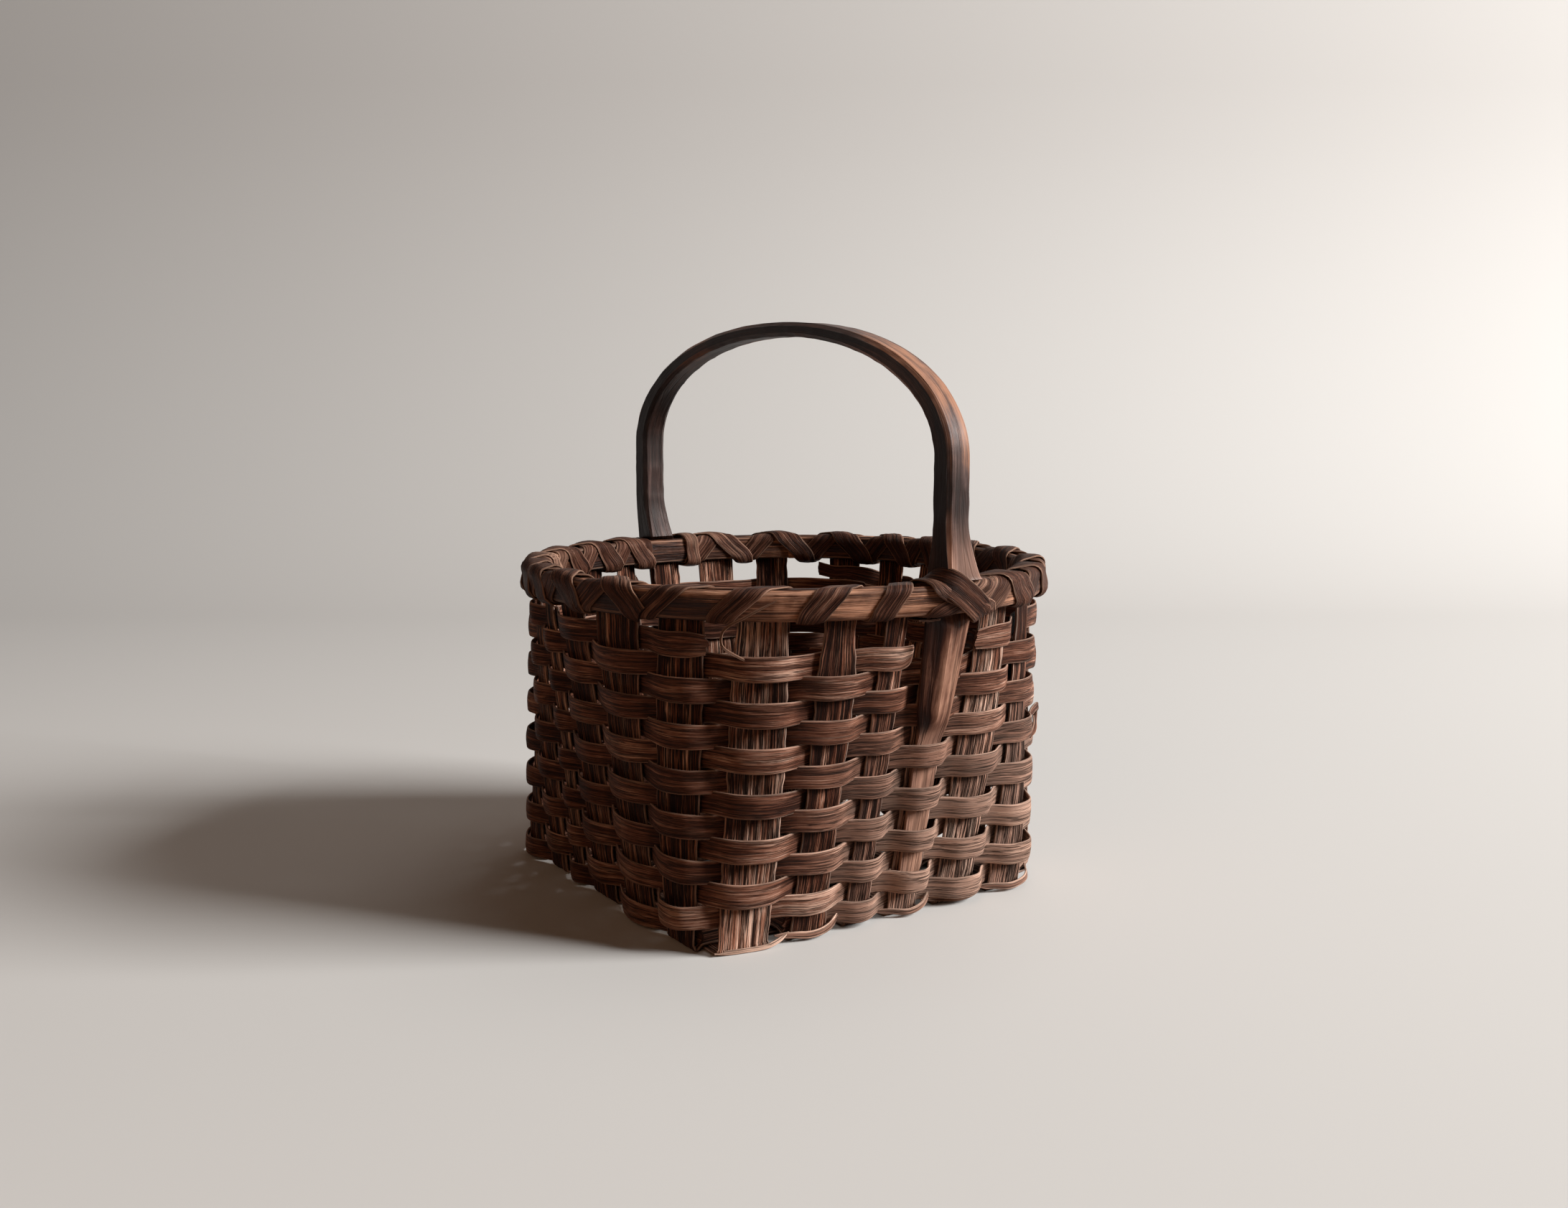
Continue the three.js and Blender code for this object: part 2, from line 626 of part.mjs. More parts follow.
// The bow over the top, a superellipse with a short level stretch at the crown, where it is thinner
function archStops() {
  const rise = CROWN_HEIGHT - SPRING_HEIGHT;
  const places = [];
  for (let i = 0; i <= ARCH_STEP_COUNT; i += 1) {
    const angle = (i * Math.PI) / ARCH_STEP_COUNT;
    const reach = Math.abs(Math.cos(angle)) ** (2 / ARCH_POWER);
    const z = SPRING_HEIGHT + rise * Math.sin(angle) ** (2 / ARCH_POWER);
    places.push(bowPoint(Math.sign(Math.cos(angle)) * BOW_HALF * reach, z));
  }
  return places.map((middle, i) => {
    const before = places[Math.max(0, i - 1)];
    const after = places[Math.min(ARCH_STEP_COUNT, i + 1)];
    const travel = after.clone().sub(before).normalize();
    const isFoot = i === 0 || i === ARCH_STEP_COUNT;
    const back = isFoot
      ? new THREE.Vector3(i === 0 ? 1 : -1, 0, 0)
      : new THREE.Vector3(travel.z, 0, -travel.x).normalize();
    const thinning = Math.sin((i * Math.PI) / ARCH_STEP_COUNT) ** THINNING_SHARPNESS;
    const thick = THREE.MathUtils.lerp(LEG_THICK, CROWN_THICK, isFoot ? 0 : thinning);
    return { middle, back, width: HANDLE_WIDTH, thick, chamfer: HANDLE_CHAMFER };
  });
}

function handle() {
  const right = legStops(0);
  const left = legStops(1).reverse();
  const rings = [...right, ...archStops(), ...left].map(handleRing);
  return solidThroughRings(rings);
}

// Assembly
const finishes = {
  upright: { color: 0x8a6448, roughness: 0.8, metalness: 0 },
  weaver: { color: 0x5c3f30, roughness: 0.62, metalness: 0 },
  rim: { color: 0x4a3226, roughness: 0.6, metalness: 0 },
  lashing: { color: 0x523829, roughness: 0.62, metalness: 0 },
  handle: { color: 0x3b2a22, roughness: 0.5, metalness: 0 },
};

const basket = new THREE.Group();

function addPiece(name, geometry, finish) {
  const mesh = new THREE.Mesh(geometry, new THREE.MeshStandardMaterial(finishes[finish]));
  mesh.name = name;
  basket.add(mesh);
}

longStrips.forEach((strip, i) => addPiece(`upright_long_${i + 1}`, uprightStrip(i, true), 'upright'));
crossStrips.forEach((strip, i) => addPiece(`upright_cross_${i + 1}`, uprightStrip(i, false), 'upright'));

// Broken rows. The lowest has lost the front corner. The one below the top has lost its run from
// there to the handle and is torn through on the +Y side, and the top one is left only on the
// -X and -Y sides.
const pastHandle = HANDLE_STRIP_INDEX + 1;
const tear = LONG_WIDTHS.length + CROSS_WIDTHS.length - 1;
const pastLeg = handleUprights[1] + 1;
const brokenRows = {
  1: { start: 1, crossings: UPRIGHTS - 1 },
  [ROW_COUNT - 1]: { start: tear, crossings: UPRIGHTS - tear + pastHandle },
  [ROW_COUNT]: { start: pastLeg, crossings: UPRIGHTS - pastLeg },
};

for (let row = 1; row <= ROW_COUNT; row += 1) {
  const near = (row * LAP_STRIDE_COUNT) % UPRIGHTS;
  const start = (goesOutside(row, near) ? near + 1 : near) % UPRIGHTS;
  const whole = { start, crossings: UPRIGHTS + 1, laps: true };
  addPiece(`weaver_row_${String(row).padStart(2, '0')}`, weaverRow(row, brokenRows[row] ?? whole), 'weaver');
}

// The other piece of the torn row, from the handle to the tear, where its end has slipped up
const loose = { start: pastHandle, crossings: tear - pastHandle + 1, rise: TORN_RISE };
addPiece(`weaver_row_${ROW_COUNT - 1}_loose`, weaverRow(ROW_COUNT - 1, loose), 'weaver');

addPiece('rim_inner', rimHoop(innerHoop, INNER_SCARF_INDEX), 'rim');
addPiece('rim_outer', rimHoop(outerHoop, OUTER_SCARF_INDEX), 'rim');

const firstStart = LONG_WIDTHS.length + 1;
const secondStart = HANDLE_STRIP_INDEX - 1 + SECOND_PASS_LOOP_COUNT;
addPiece('lashing_first', lashing('lashing_first', firstStart, UPRIGHTS, 1, 1), 'lashing');
addPiece('lashing_second', lashing('lashing_second', secondStart, SECOND_PASS_LOOP_COUNT, -1, 2), 'lashing');

addPiece('handle', handle(), 'handle');

// The origin lies under the middle of the whole, on the surface it stands on
const size = new THREE.Box3().setFromObject(basket);
basket.position.set(-(size.min.x + size.max.x) / 2, -(size.min.y + size.max.y) / 2, -size.min.z);

export default basket;
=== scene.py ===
import math
import bpy
import numpy as np
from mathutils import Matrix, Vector


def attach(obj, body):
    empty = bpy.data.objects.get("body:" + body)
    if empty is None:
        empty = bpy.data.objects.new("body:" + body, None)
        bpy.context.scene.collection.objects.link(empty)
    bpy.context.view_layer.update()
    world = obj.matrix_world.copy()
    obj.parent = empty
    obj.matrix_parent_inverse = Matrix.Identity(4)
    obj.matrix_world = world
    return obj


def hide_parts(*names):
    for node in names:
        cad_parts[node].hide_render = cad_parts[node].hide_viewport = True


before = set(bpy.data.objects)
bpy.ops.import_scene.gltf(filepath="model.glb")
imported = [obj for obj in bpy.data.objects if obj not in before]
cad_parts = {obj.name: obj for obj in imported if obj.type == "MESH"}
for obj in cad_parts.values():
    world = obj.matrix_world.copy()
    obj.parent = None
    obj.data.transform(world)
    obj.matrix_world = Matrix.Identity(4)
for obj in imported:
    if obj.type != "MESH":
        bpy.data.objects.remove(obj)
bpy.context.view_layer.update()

# Sizes in mm, shared with the solids
BASE_HALF, RIM_HALF, BASE_CORNER, RIM_CORNER = 66.8, 82.2, 8, 78
WALL_HOLLOW, RIM_TOP, LEAN_X, LEAN_Y, TWIST = 0.8, 109.6, 6.1, 0.7, 6.6
LONG_WIDTHS = [17.5, 13, 9, 12.4, 15.6, 14]
CROSS_WIDTHS = [16.3, 20, 17, 7.5, 12, 13.5]
LONG_INSETS, CROSS_INSETS = (3.4, 11), (7.5, 7)
UPRIGHT_THICK, UPRIGHT_TRIM, FOLD = 1.2, 0.6, 1
ROWS, WEAVER_THICK, WEAVER_TALL, ROW_SPACE, FIRST_ROW_LIFT = 14, 0.9, 6.3, 0.5, 0.6
RISE_LOW, RISE_MIDDLE, RISE_HIGH, RISE_MIDDLE_ROW, RISE_SHARPNESS = 2.6, 4.6, 3.1, 9, 4
TOP_ROW_SLIDE, TORN_RISE, LAP_STRIDE = 1.7, 3.3, 7
HOOP_TALL, OUTER_HOOP_THICK, INNER_HOOP_THICK = 9, 3.1, 3
SWELL_SHARES = [1, 0.62, 0.3, 0.1]
SCARF_EDGES, SCARF_TIP, INNER_SCARF_EDGE, OUTER_SCARF_EDGE = 4, 0.6, 20, 41
LASHING_SLANT_WIDTH, LASHING_THICK, SECOND_PASS_LOOPS = 7.6, 0.8, 20
LEG_STAND_OUT, BOW_SHIFT, SPRING_HEIGHT, CROWN_HEIGHT, ARCH_POWER = 3.5, 3.4, 145.6, 186.6, 2.1
HANDLE_WIDTH, LEG_THICK, CROWN_THICK, THINNING_SHARPNESS, HANDLE_CHAMFER = 9.1, 8.2, 4.8, 1.25, 1.3
NOTCH_THICK, SHOULDER_LENGTH, SHOULDER_REACH_IN = 2.6, 18, (4, 2.6)
SHOULDER_SPREAD, SHOULDER_RETURN, SHOULDER_SHARPNESS = (1.7, 0.3), (1, 0.5), 1.6
TAIL_WIDTH_HIGH, TAIL_WIDTH_LOW, TAIL_TIP_WIDTH, TAIL_TIP_LENGTH = 11.2, 8.6, 4.5, 4
TAIL_THICK_HIGH, TAIL_THICK_LOW, LAST_FREE_ROW = 1.6, 1.1, 9
CLEAR = 0.32
# From the middle of the base to the middle of the whole outline
SHIFT = np.array([-6.0077, -0.7105, 0])

RIM_LOW = RIM_TOP - HOOP_TALL
BOW_HALF = RIM_HALF + LEG_STAND_OUT
ROW_PITCH = WEAVER_TALL + ROW_SPACE
WEAVER_OUT = (UPRIGHT_THICK + WEAVER_THICK) / 2 + CLEAR
FACE_OUT = UPRIGHT_THICK / 2 + CLEAR
FREE_TAIL_OUT = WEAVER_OUT + WEAVER_THICK / 2 + CLEAR
MM = 0.001


def wall_at(z):
    """At a height: its share of the rim's, the corner's radius, half a side's flat and a quarter's length."""
    t = np.asarray(z, float) / RIM_TOP
    half = BASE_HALF + (RIM_HALF - BASE_HALF) * t - 4 * WALL_HOLLOW * t * (1 - t)
    corner = BASE_CORNER + (RIM_CORNER - BASE_CORNER) * t
    flat = half - corner
    return t, corner, flat, 2 * flat + math.pi * corner / 2


BASE_AROUND = 4 * float(wall_at(0)[3])


def wall_point(along, z, out):
    along, z, out = np.broadcast_arrays(np.asarray(along, float), z, out)
    t, corner, flat, quarter = wall_at(z)
    s = np.mod(along + flat, 4 * quarter)
    side = np.floor(s / quarter)
    run = s - side * quarter
    turn = np.maximum(0, run - 2 * flat) / corner
    x = flat + np.cos(turn) * (corner + out)
    y = np.minimum(run, 2 * flat) - flat + np.sin(turn) * (corner + out)
    a = side * math.pi / 2
    across = x * np.cos(a) - y * np.sin(a) + LEAN_X * t
    return np.stack([across, x * np.sin(a) + y * np.cos(a) + LEAN_Y * t, z], -1)


def lay_out(widths, insets, direction):
    """Middles and widths of strips side by side across the base."""
    gap = (2 * BASE_HALF - sum(insets) - sum(widths)) / (len(widths) - 1)
    edge, strips = direction * (insets[0] - BASE_HALF), []
    for width in widths:
        strips.append((edge + direction * width / 2, width))
        edge += direction * (width + gap)
    return strips


# Each upright round the basket: its strip's middle and width, the side and the way the strip runs there
LONG = lay_out(LONG_WIDTHS, LONG_INSETS, 1)
CROSS = lay_out(CROSS_WIDTHS, CROSS_INSETS, -1)
SIDES = ((LONG, 0, 1), (CROSS, 1, -1), (LONG[::-1], 2, -1), (CROSS[::-1], 3, 1))
UPRIGHTS = np.array([(*strip, side, sign) for strips, side, sign in SIDES for strip in strips])
N_UP = len(UPRIGHTS)
HANDLE_STRIP = 3
LEGS = [HANDLE_STRIP, 2 * len(LONG) + len(CROSS) - 1 - HANDLE_STRIP]


def facing(middle, side, sign, toward):
    """How much an upright faces a way in quarter turns, from 0 to 1."""
    return (1 + np.cos((side + 4 * sign * middle / BASE_AROUND - toward) * math.pi / 2)) / 2


def edge_along(edge, z):
    """The way round to an edge: 2i and 2i + 1 are the edges of upright i."""
    edge = np.mod(np.asarray(edge, int), 2 * N_UP)
    middle, width, side, sign = np.moveaxis(UPRIGHTS[edge // 2], -1, 0)
    quarter = wall_at(z)[3]
    lean = TWIST * facing(middle, side, sign, 2) ** 3 * np.asarray(z) / RIM_TOP
    middle_along = side * quarter + sign * middle * 4 * quarter / BASE_AROUND
    return middle_along + lean + np.where(edge % 2 == 0, -0.5, 0.5) * width


def surf(place, z, out):
    """A point on the chords between edges, place counted in edges."""
    e = np.floor(place).astype(int)
    a, b = wall_point(edge_along(e, z), z, out), wall_point(edge_along(e + 1, z), z, out)
    return a + (b - a) * (place - e)[..., None]


def round_wall(place, z, out):
    """The same, on the true curve of the wall."""
    e = np.floor(place).astype(int)
    a, b = edge_along(e, z), edge_along(e + 1, z)
    around = 4 * wall_at(z)[3]
    step = np.mod(b - a + around / 2, around) - around / 2
    return wall_point(a + step * (place - e), z, out)


def wall_out(index):
    """The way an upright's wall faces."""
    side = UPRIGHTS[index % N_UP][2] * math.pi / 2
    return (math.cos(side), math.sin(side), 0)


# Broken rows: where what is left starts and how many uprights it crosses. The torn row ends one upright
# before its solid does, and its loose piece runs from the handle to the tear.
PAST_HANDLE = HANDLE_STRIP + 1
TEAR = 11
TORN_ROW, LOW_BULGED_ROW, LOOPED_ROW = ROWS - 1, 2, 8
BROKEN_ROWS = {1: (1, N_UP - 1), TORN_ROW: (TEAR, N_UP - TEAR + HANDLE_STRIP),
               ROWS: (LEGS[1] + 1, N_UP - LEGS[1] - 1)}
LOOSE = (PAST_HANDLE, TEAR - PAST_HANDLE + 1)


def holds(row, index):
    """Whether what is left of a row passes an upright."""
    start, crossings = BROKEN_ROWS.get(row, (0, N_UP))
    loose = row == TORN_ROW and LOOSE[0] <= index < TEAR
    return loose or (index - start) % N_UP < crossings


def row_middle(row, index):
    middle, width, side, sign = UPRIGHTS[index % N_UP]
    low = UPRIGHT_THICK + FIRST_ROW_LIFT + WEAVER_TALL / 2 + (row - 1) * ROW_PITCH
    rise = np.interp(row, [1, RISE_MIDDLE_ROW, ROWS], [RISE_LOW, RISE_MIDDLE, RISE_HIGH])
    slid = TOP_ROW_SLIDE if row == TORN_ROW and LEGS[0] < index % N_UP <= LEGS[1] else 0
    return low + facing(middle, side, sign, 0.5) ** RISE_SHARPNESS * rise + slid


def goes_outside(row, index):
    return (row + index) % 2 == 1


def last_covered(index):
    """The highest row that lies over a leg's tail."""
    return LAST_FREE_ROW - 1 if goes_outside(LAST_FREE_ROW - 1, index) else LAST_FREE_ROW - 2


def smooth(t):
    t = np.clip(t, 0, 1)
    return t * t * (3 - 2 * t)


def bell(x, middle, width):
    return np.exp(-((x - middle) / width) ** 2)


def cells(x, cell, spare):
    """Which cell each position is in and how far, and how many knots they all need."""
    x = x / cell
    i = np.floor(x).astype(int)
    first = i.min() - spare
    return i - first, smooth(x - i), int(np.ceil(x.max())) - first + spare + 2


def noise1(rng, x, cell):
    """Smooth random values from -1 to 1 over positions x, with one knot to a cell."""
    i, f, count = cells(x, cell, 2)
    knots = rng.uniform(-1, 1, count)
    return knots[i] * (1 - f) + knots[i + 1] * f


def noise2(rng, u, v, cell_u, cell_v):
    """The same over a strip, at positions u along it, as a column, and v over it."""
    i, fu, count_u = cells(u, cell_u, 1)
    j, fv, count_v = cells(v, cell_v, 1)
    knots = rng.uniform(-1, 1, (count_u, count_v))
    low = knots[i, j] * (1 - fu) + knots[i + 1, j] * fu
    high = knots[i, j + 1] * (1 - fu) + knots[i + 1, j + 1] * fu
    return low * (1 - fv) + high * fv


def spline(points, steps):
    """A smooth curve through points or rows of them, with steps to each span, and where it is in spans."""
    thin = (-1,) + (1,) * (points.ndim - 1)
    gap = np.diff(points, axis=0)
    size = np.linalg.norm(gap, axis=-1).reshape(len(gap), -1).mean(1)
    size = np.maximum(size, 1e-6).reshape(thin)
    slope = gap / size
    inner = (slope[1:] * size[:-1] + slope[:-1] * size[1:]) / (size[1:] + size[:-1])
    tangent = np.concatenate([slope[:1], inner, slope[-1:]])
    at = np.arange((len(points) - 1) * steps + 1) / steps
    i = np.minimum(at.astype(int), len(points) - 2)
    f = (at - i).reshape(thin)
    a, b, ta, tb = points[i], points[i + 1], tangent[i] * size[i], tangent[i + 1] * size[i]
    curve = ((2 * f ** 3 - 3 * f ** 2 + 1) * a + (f ** 3 - 2 * f ** 2 + f) * ta
             + (3 * f ** 2 - 2 * f ** 3) * b + (f ** 3 - f ** 2) * tb)
    return curve, at


def unit(v):
    return v / np.maximum(np.linalg.norm(v, axis=-1, keepdims=True), 1e-9)


def lengths(line):
    return np.concatenate([[0], np.cumsum(np.linalg.norm(np.diff(line, axis=0), axis=-1))])


def layers(*values):
    """Values along a strip, over it or both, laid in one grid."""
    return np.stack(np.broadcast_arrays(*values), -1)


def middle_run(mid):
    """The way along a strip's middle line, as a column."""
    return lengths(mid[:, mid.shape[1] // 2])[:, None]


def blur(kernel, *columns):
    """Smooths columns of values in place."""
    reach = len(kernel) // 2
    for values in columns:
        values[reach:-reach, 0] = np.convolve(values[:, 0], np.array(kernel) / sum(kernel), "valid")


def add_object(name, data):
    obj = bpy.data.objects.new(name, data)
    bpy.context.scene.collection.objects.link(obj)
    return obj


def new_mesh(name, parts, material, crease, low_material):
    """One object from closed parts. What lies under the rim may have a material of its own."""
    verts, uv, tint = (np.concatenate([part[i] for part in parts]) for i in (0, 2, 3))
    before = np.cumsum([0] + [len(part[0]) for part in parts])
    faces = np.concatenate([part[1] + count for part, count in zip(parts, before)])
    mesh = bpy.data.meshes.new(name)
    mesh.from_pydata((verts + SHIFT) * MM, [], faces, shade_flat=False)
    mesh.uv_layers.new(name="grain").data.foreach_set("uv", (uv[faces.ravel()] * MM).ravel())
    colour = mesh.color_attributes.new("tint", "FLOAT_COLOR", "POINT")
    colour.data.foreach_set("color", np.insert(tint, 3, 1, axis=1).ravel())
    mesh.validate()
    mesh.set_sharp_from_angle(angle=math.radians(crease))
    mesh.materials.append(material)
    if low_material:
        mesh.materials.append(low_material)
        low = verts[faces][..., 2].mean(1) < RIM_LOW + 3
        mesh.polygons.foreach_set("material_index", low.astype(np.int32))
    return add_object(name, mesh)


def tube(rings, uv, tint):
    """A closed solid through rings (n, m, 3), with flat ends: points, faces, grain coordinates and tint."""
    n, m = rings.shape[:2]
    verts = rings.reshape(-1, 3)
    i, j = np.meshgrid(np.arange(n - 1), np.arange(m), indexing="ij")
    a, b = i * m + j, i * m + (j + 1) % m
    k = np.arange(m // 2 - 1)
    cap = np.stack([k, m - 1 - k, m - 2 - k, k + 1], -1)
    around = np.stack([a, b, b + m, a + m], -1).reshape(-1, 4)
    faces = np.concatenate([around, cap, cap[:, ::-1] + (n - 1) * m])
    p = verts[faces]
    volume = np.einsum("ij,ij->i", p[:, 0], np.cross(p[:, 1], p[:, 2]) + np.cross(p[:, 2], p[:, 3])).sum()
    if volume < 0:
        faces = faces[:, ::-1]
    return verts, faces, uv.reshape(-1, 2), tint.reshape(-1, 3)


# A strip's rounded edges: shares of its width, and of its thickness there
EDGE_V = np.array([0, 0.012, 0.045, 0.1])
EDGE_THICK = np.array([0.3, 0.66, 0.92, 1])
EDGE_WEAR_REACH = 1.1
# Each strip and its back have their own stretch of the grain
GRAIN_STEP_ALONG, GRAIN_STEP_OVER, GRAIN_STEP_BACK = 431, 37, 400


def across_shares(inner):
    """Shares of a strip's width, closer together at its two edges."""
    middle = np.linspace(EDGE_V[-1], 1 - EDGE_V[-1], inner + 2)[1:-1]
    return np.concatenate([EDGE_V, middle, (1 - EDGE_V)[::-1]])


def strip(mid, shares, thick, width, seed, tone, pale=0):
    """A splint: mid is the grid of its middle surface (n, m, 3), thick its thickness there."""
    normal = unit(np.cross(np.gradient(mid, axis=0), np.gradient(mid, axis=1)))
    to_edge = np.minimum(shares, 1 - shares)
    half = (thick * np.interp(to_edge, EDGE_V, EDGE_THICK) / 2)[..., None]
    rings = np.concatenate([mid + normal * half, (mid - normal * half)[:, ::-1]], 1)
    u = middle_run(mid) + seed * GRAIN_STEP_ALONG
    v = (shares - 0.5) * width + seed * GRAIN_STEP_OVER
    uv = np.concatenate([layers(u, v), layers(u, v + GRAIN_STEP_BACK)[:, ::-1]], 1)
    edge = np.clip(1 - to_edge * width / EDGE_WEAR_REACH, 0, 1) + 0 * u
    face = layers(edge, tone, pale)
    return tube(rings, uv, np.concatenate([face, face[:, ::-1]], 1))


def sliver(spots, face, width, thick, seed, tone, pale, steps=8):
    """A loose splinter through spots on the wall (place, height, out), its flat side looking along face."""
    line = spline(surf(*np.array(spots, float).T), steps)[0]
    side = unit(np.cross(unit(np.gradient(line, axis=0)), np.array(face)))
    shares = across_shares(3)
    share = (lengths(line) / lengths(line)[-1])[:, None]
    narrow = np.clip(np.minimum(share, 1 - share) * 7, 0.12, 1) ** 0.7
    mid = line[:, None] + side[:, None] * ((shares - 0.5) * width * narrow)[..., None]
    return strip(mid, shares, thick, width, seed, tone, pale)


def paler_low(mid, amount, top, near, over):
    """How pale a strip is: paler low down on the near half of the +X side."""
    x, y, z = mid.mean(1).T[..., None]
    return amount * smooth((top - z) / 60) * smooth((x - 30) / 25) * smooth((y - near) / over)


# Materials
def fill(tree, node, inputs):
    """Sets a node's inputs to values or to the outputs of other nodes."""
    for key, value in inputs.items():
        if isinstance(value, bpy.types.NodeSocket):
            tree.links.new(value, node.inputs[key])
        else:
            node.inputs[key].default_value = value
    return node


def new_node(tree, kind, inputs):
    return fill(tree, tree.nodes.new("ShaderNode" + kind), inputs)


def maths(tree, operation, *values):
    node = tree.nodes.new("ShaderNodeMath")
    node.operation = operation
    return fill(tree, node, dict(enumerate(values))).outputs[0]


def mix(tree, share, a, b):
    """Colour a, and as much of colour b as the share says."""
    node = tree.nodes.new("ShaderNodeMix")
    node.data_type = "RGBA"
    return fill(tree, node, {0: share, 6: a, 7: b}).outputs[2]


def ramp(tree, share, *stops):
    node = new_node(tree, "ValToRGB", {"Fac": share})
    elements = node.color_ramp.elements
    elements.remove(elements[-1])
    for i, (at, *colour) in enumerate(stops):
        stop = elements.new(at) if i else elements[0]
        stop.position = at
        stop.color = (*colour, 1)
    return node.outputs["Color"]


def fade(tree, value, start, before, end, after):
    """Grey from one level to another between two values."""
    return ramp(tree, value, (start, *[before] * 3), (end, *[after] * 3))


def wood(name, *stops, wear, surface, fibres, mixed, marks, cracks, edge_wear, pore=(0.006, 0.0017, 0.0008)):
    """Fibrous wood: its colours from dark to light, each after its level, the colour of worn places, and
    the shares of a broad, a fibre and a fine noise in its tone."""
    roughness, sheen, bump = surface
    fibre_size, wander = fibres
    stain, groove_level, depth = marks
    crack, crack_start, crack_end = cracks
    material = bpy.data.materials.new(name)
    material.use_nodes = True
    tree = material.node_tree
    grain = new_node(tree, "UVMap", {})
    grain.uv_map = "grain"
    tint = new_node(tree, "VertexColor", {})
    tint.layer_name = "tint"
    split = new_node(tree, "SeparateColor", {"Color": tint.outputs["Color"]})
    edge, strip_tone, pale = (split.outputs[channel] for channel in ("Red", "Green", "Blue"))
    per_size = 1 / fibre_size

    def stretched(along, over, detail, rough, distortion):
        """Noise with so many spots to a metre along the grain and over it."""
        scale = (along * per_size, over * per_size, 1)
        place = new_node(tree, "Mapping", {"Vector": grain.outputs["UV"], "Scale": scale})
        return new_node(tree, "TexNoise", {"Vector": place.outputs["Vector"], "Scale": 1, "Detail": detail,
                                           "Roughness": rough, "Distortion": distortion}).outputs["Fac"]

    def weighted(*terms):
        """The sum of outputs, each times its weight."""
        total, *others = (maths(tree, "MULTIPLY", output, weight) for output, weight in terms)
        for other in others:
            total = maths(tree, "ADD", total, other)
        return total

    broad = stretched(14, 300, 4, 0.6, wander * 0.5)
    fibre = stretched(42, 1500, 6, 0.72, wander)
    fine = stretched(90, 3600, 3, 0.6, wander)
    groove = stretched(24, 900, 4, 0.6, wander * 1.2)
    vein = stretched(13, 520, 3, 0.6, wander * 1.6)
    patches = new_node(tree, "TexNoise", {"Vector": new_node(tree, "TexCoord", {}).outputs["Object"],
                                          "Scale": 34, "Detail": 5, "Roughness": 0.6}).outputs["Fac"]
    own_tone, own_stain = (maths(tree, "SUBTRACT", level, 0.5) for level in (strip_tone, patches))
    tone = weighted(*zip((broad, fibre, fine), mixed), (own_tone, 0.42), (own_stain, stain))
    colour = mix(tree, maths(tree, "MULTIPLY", pale, 0.7), ramp(tree, tone, *stops), (*wear, 1))
    open_groove = fade(tree, groove, groove_level - 0.05, 1, groove_level + 0.035, 0)
    from_vein = maths(tree, "ABSOLUTE", maths(tree, "SUBTRACT", vein, 0.5))
    dark = maths(tree, "MAXIMUM", open_groove, fade(tree, from_vein, crack_start, crack, crack_end, 0))
    colour = mix(tree, maths(tree, "MULTIPLY", dark, depth), colour, (*pore, 1))
    worn = maths(tree, "MULTIPLY", maths(tree, "POWER", edge, 1.4), maths(tree, "ADD", fibre, broad))
    colour = mix(tree, fade(tree, worn, 0.4, 0, 0.95, edge_wear), colour, (*wear, 1))
    rough = new_node(tree, "MapRange", {"Value": fibre, "To Min": roughness - 0.1, "To Max": roughness + 0.2})
    height = weighted((fibre, 0.45), (broad, 0.35), (fine, 0.12), (dark, -0.5))
    bumped = new_node(tree, "Bump", {"Strength": bump, "Distance": 0.0007, "Height": height})
    fill(tree, tree.nodes["Principled BSDF"],
         {"Base Color": colour, "Roughness": rough.outputs["Result"], "Specular IOR Level": sheen,
          "Normal": bumped.outputs["Normal"]})
    return material


WOODS = {}
WOODS["upright_splint"] = wood(
    "upright_wood", (0.39, 0.035, 0.0095, 0.0045), (0.46, 0.15, 0.054, 0.031), (0.52, 0.4, 0.18, 0.112),
    (0.61, 0.92, 0.63, 0.49), wear=(0.85, 0.6, 0.48), surface=(0.7, 0.08, 1), fibres=(0.8, 0.9),
    mixed=(0.46, 0.36, 0.18), marks=(0.3, 0.462, 0.98), cracks=(0.98, 0.024, 0.068), edge_wear=0.5)
WOODS["weaver_splint"] = wood(
    "weaver_wood", (0.38, 0.036, 0.0115, 0.006), (0.455, 0.115, 0.043, 0.025), (0.525, 0.25, 0.115, 0.074),
    (0.63, 0.7, 0.46, 0.35), wear=(0.72, 0.5, 0.39), surface=(0.52, 0.08, 0.9), fibres=(0.62, 0.5),
    mixed=(0.4, 0.4, 0.2), marks=(0.2, 0.39, 0.85), cracks=(0.85, 0.01, 0.04), edge_wear=0.42)
WOODS["rim_wood"] = wood(
    "rim_wood", (0.38, 0.011, 0.0034, 0.002), (0.46, 0.042, 0.0145, 0.0078), (0.53, 0.13, 0.054, 0.029),
    (0.62, 0.56, 0.29, 0.18), wear=(0.6, 0.36, 0.25), surface=(0.46, 0.14, 0.8), fibres=(1, 0.6),
    mixed=(0.48, 0.35, 0.17), marks=(0.45, 0.37, 0.8), cracks=(0.65, 0.01, 0.036), edge_wear=0.5)
WOODS["lashing_splint"] = wood(
    "lashing_wood", (0.38, 0.018, 0.006, 0.0037), (0.46, 0.052, 0.0195, 0.0118), (0.53, 0.115, 0.05, 0.032),
    (0.64, 0.4, 0.24, 0.17), wear=(0.5, 0.31, 0.22), surface=(0.46, 0.07, 0.9), fibres=(0.7, 0.2),
    mixed=(0.36, 0.42, 0.22), marks=(0.22, 0.4, 0.85), cracks=(0.8, 0.01, 0.042), edge_wear=0.5)
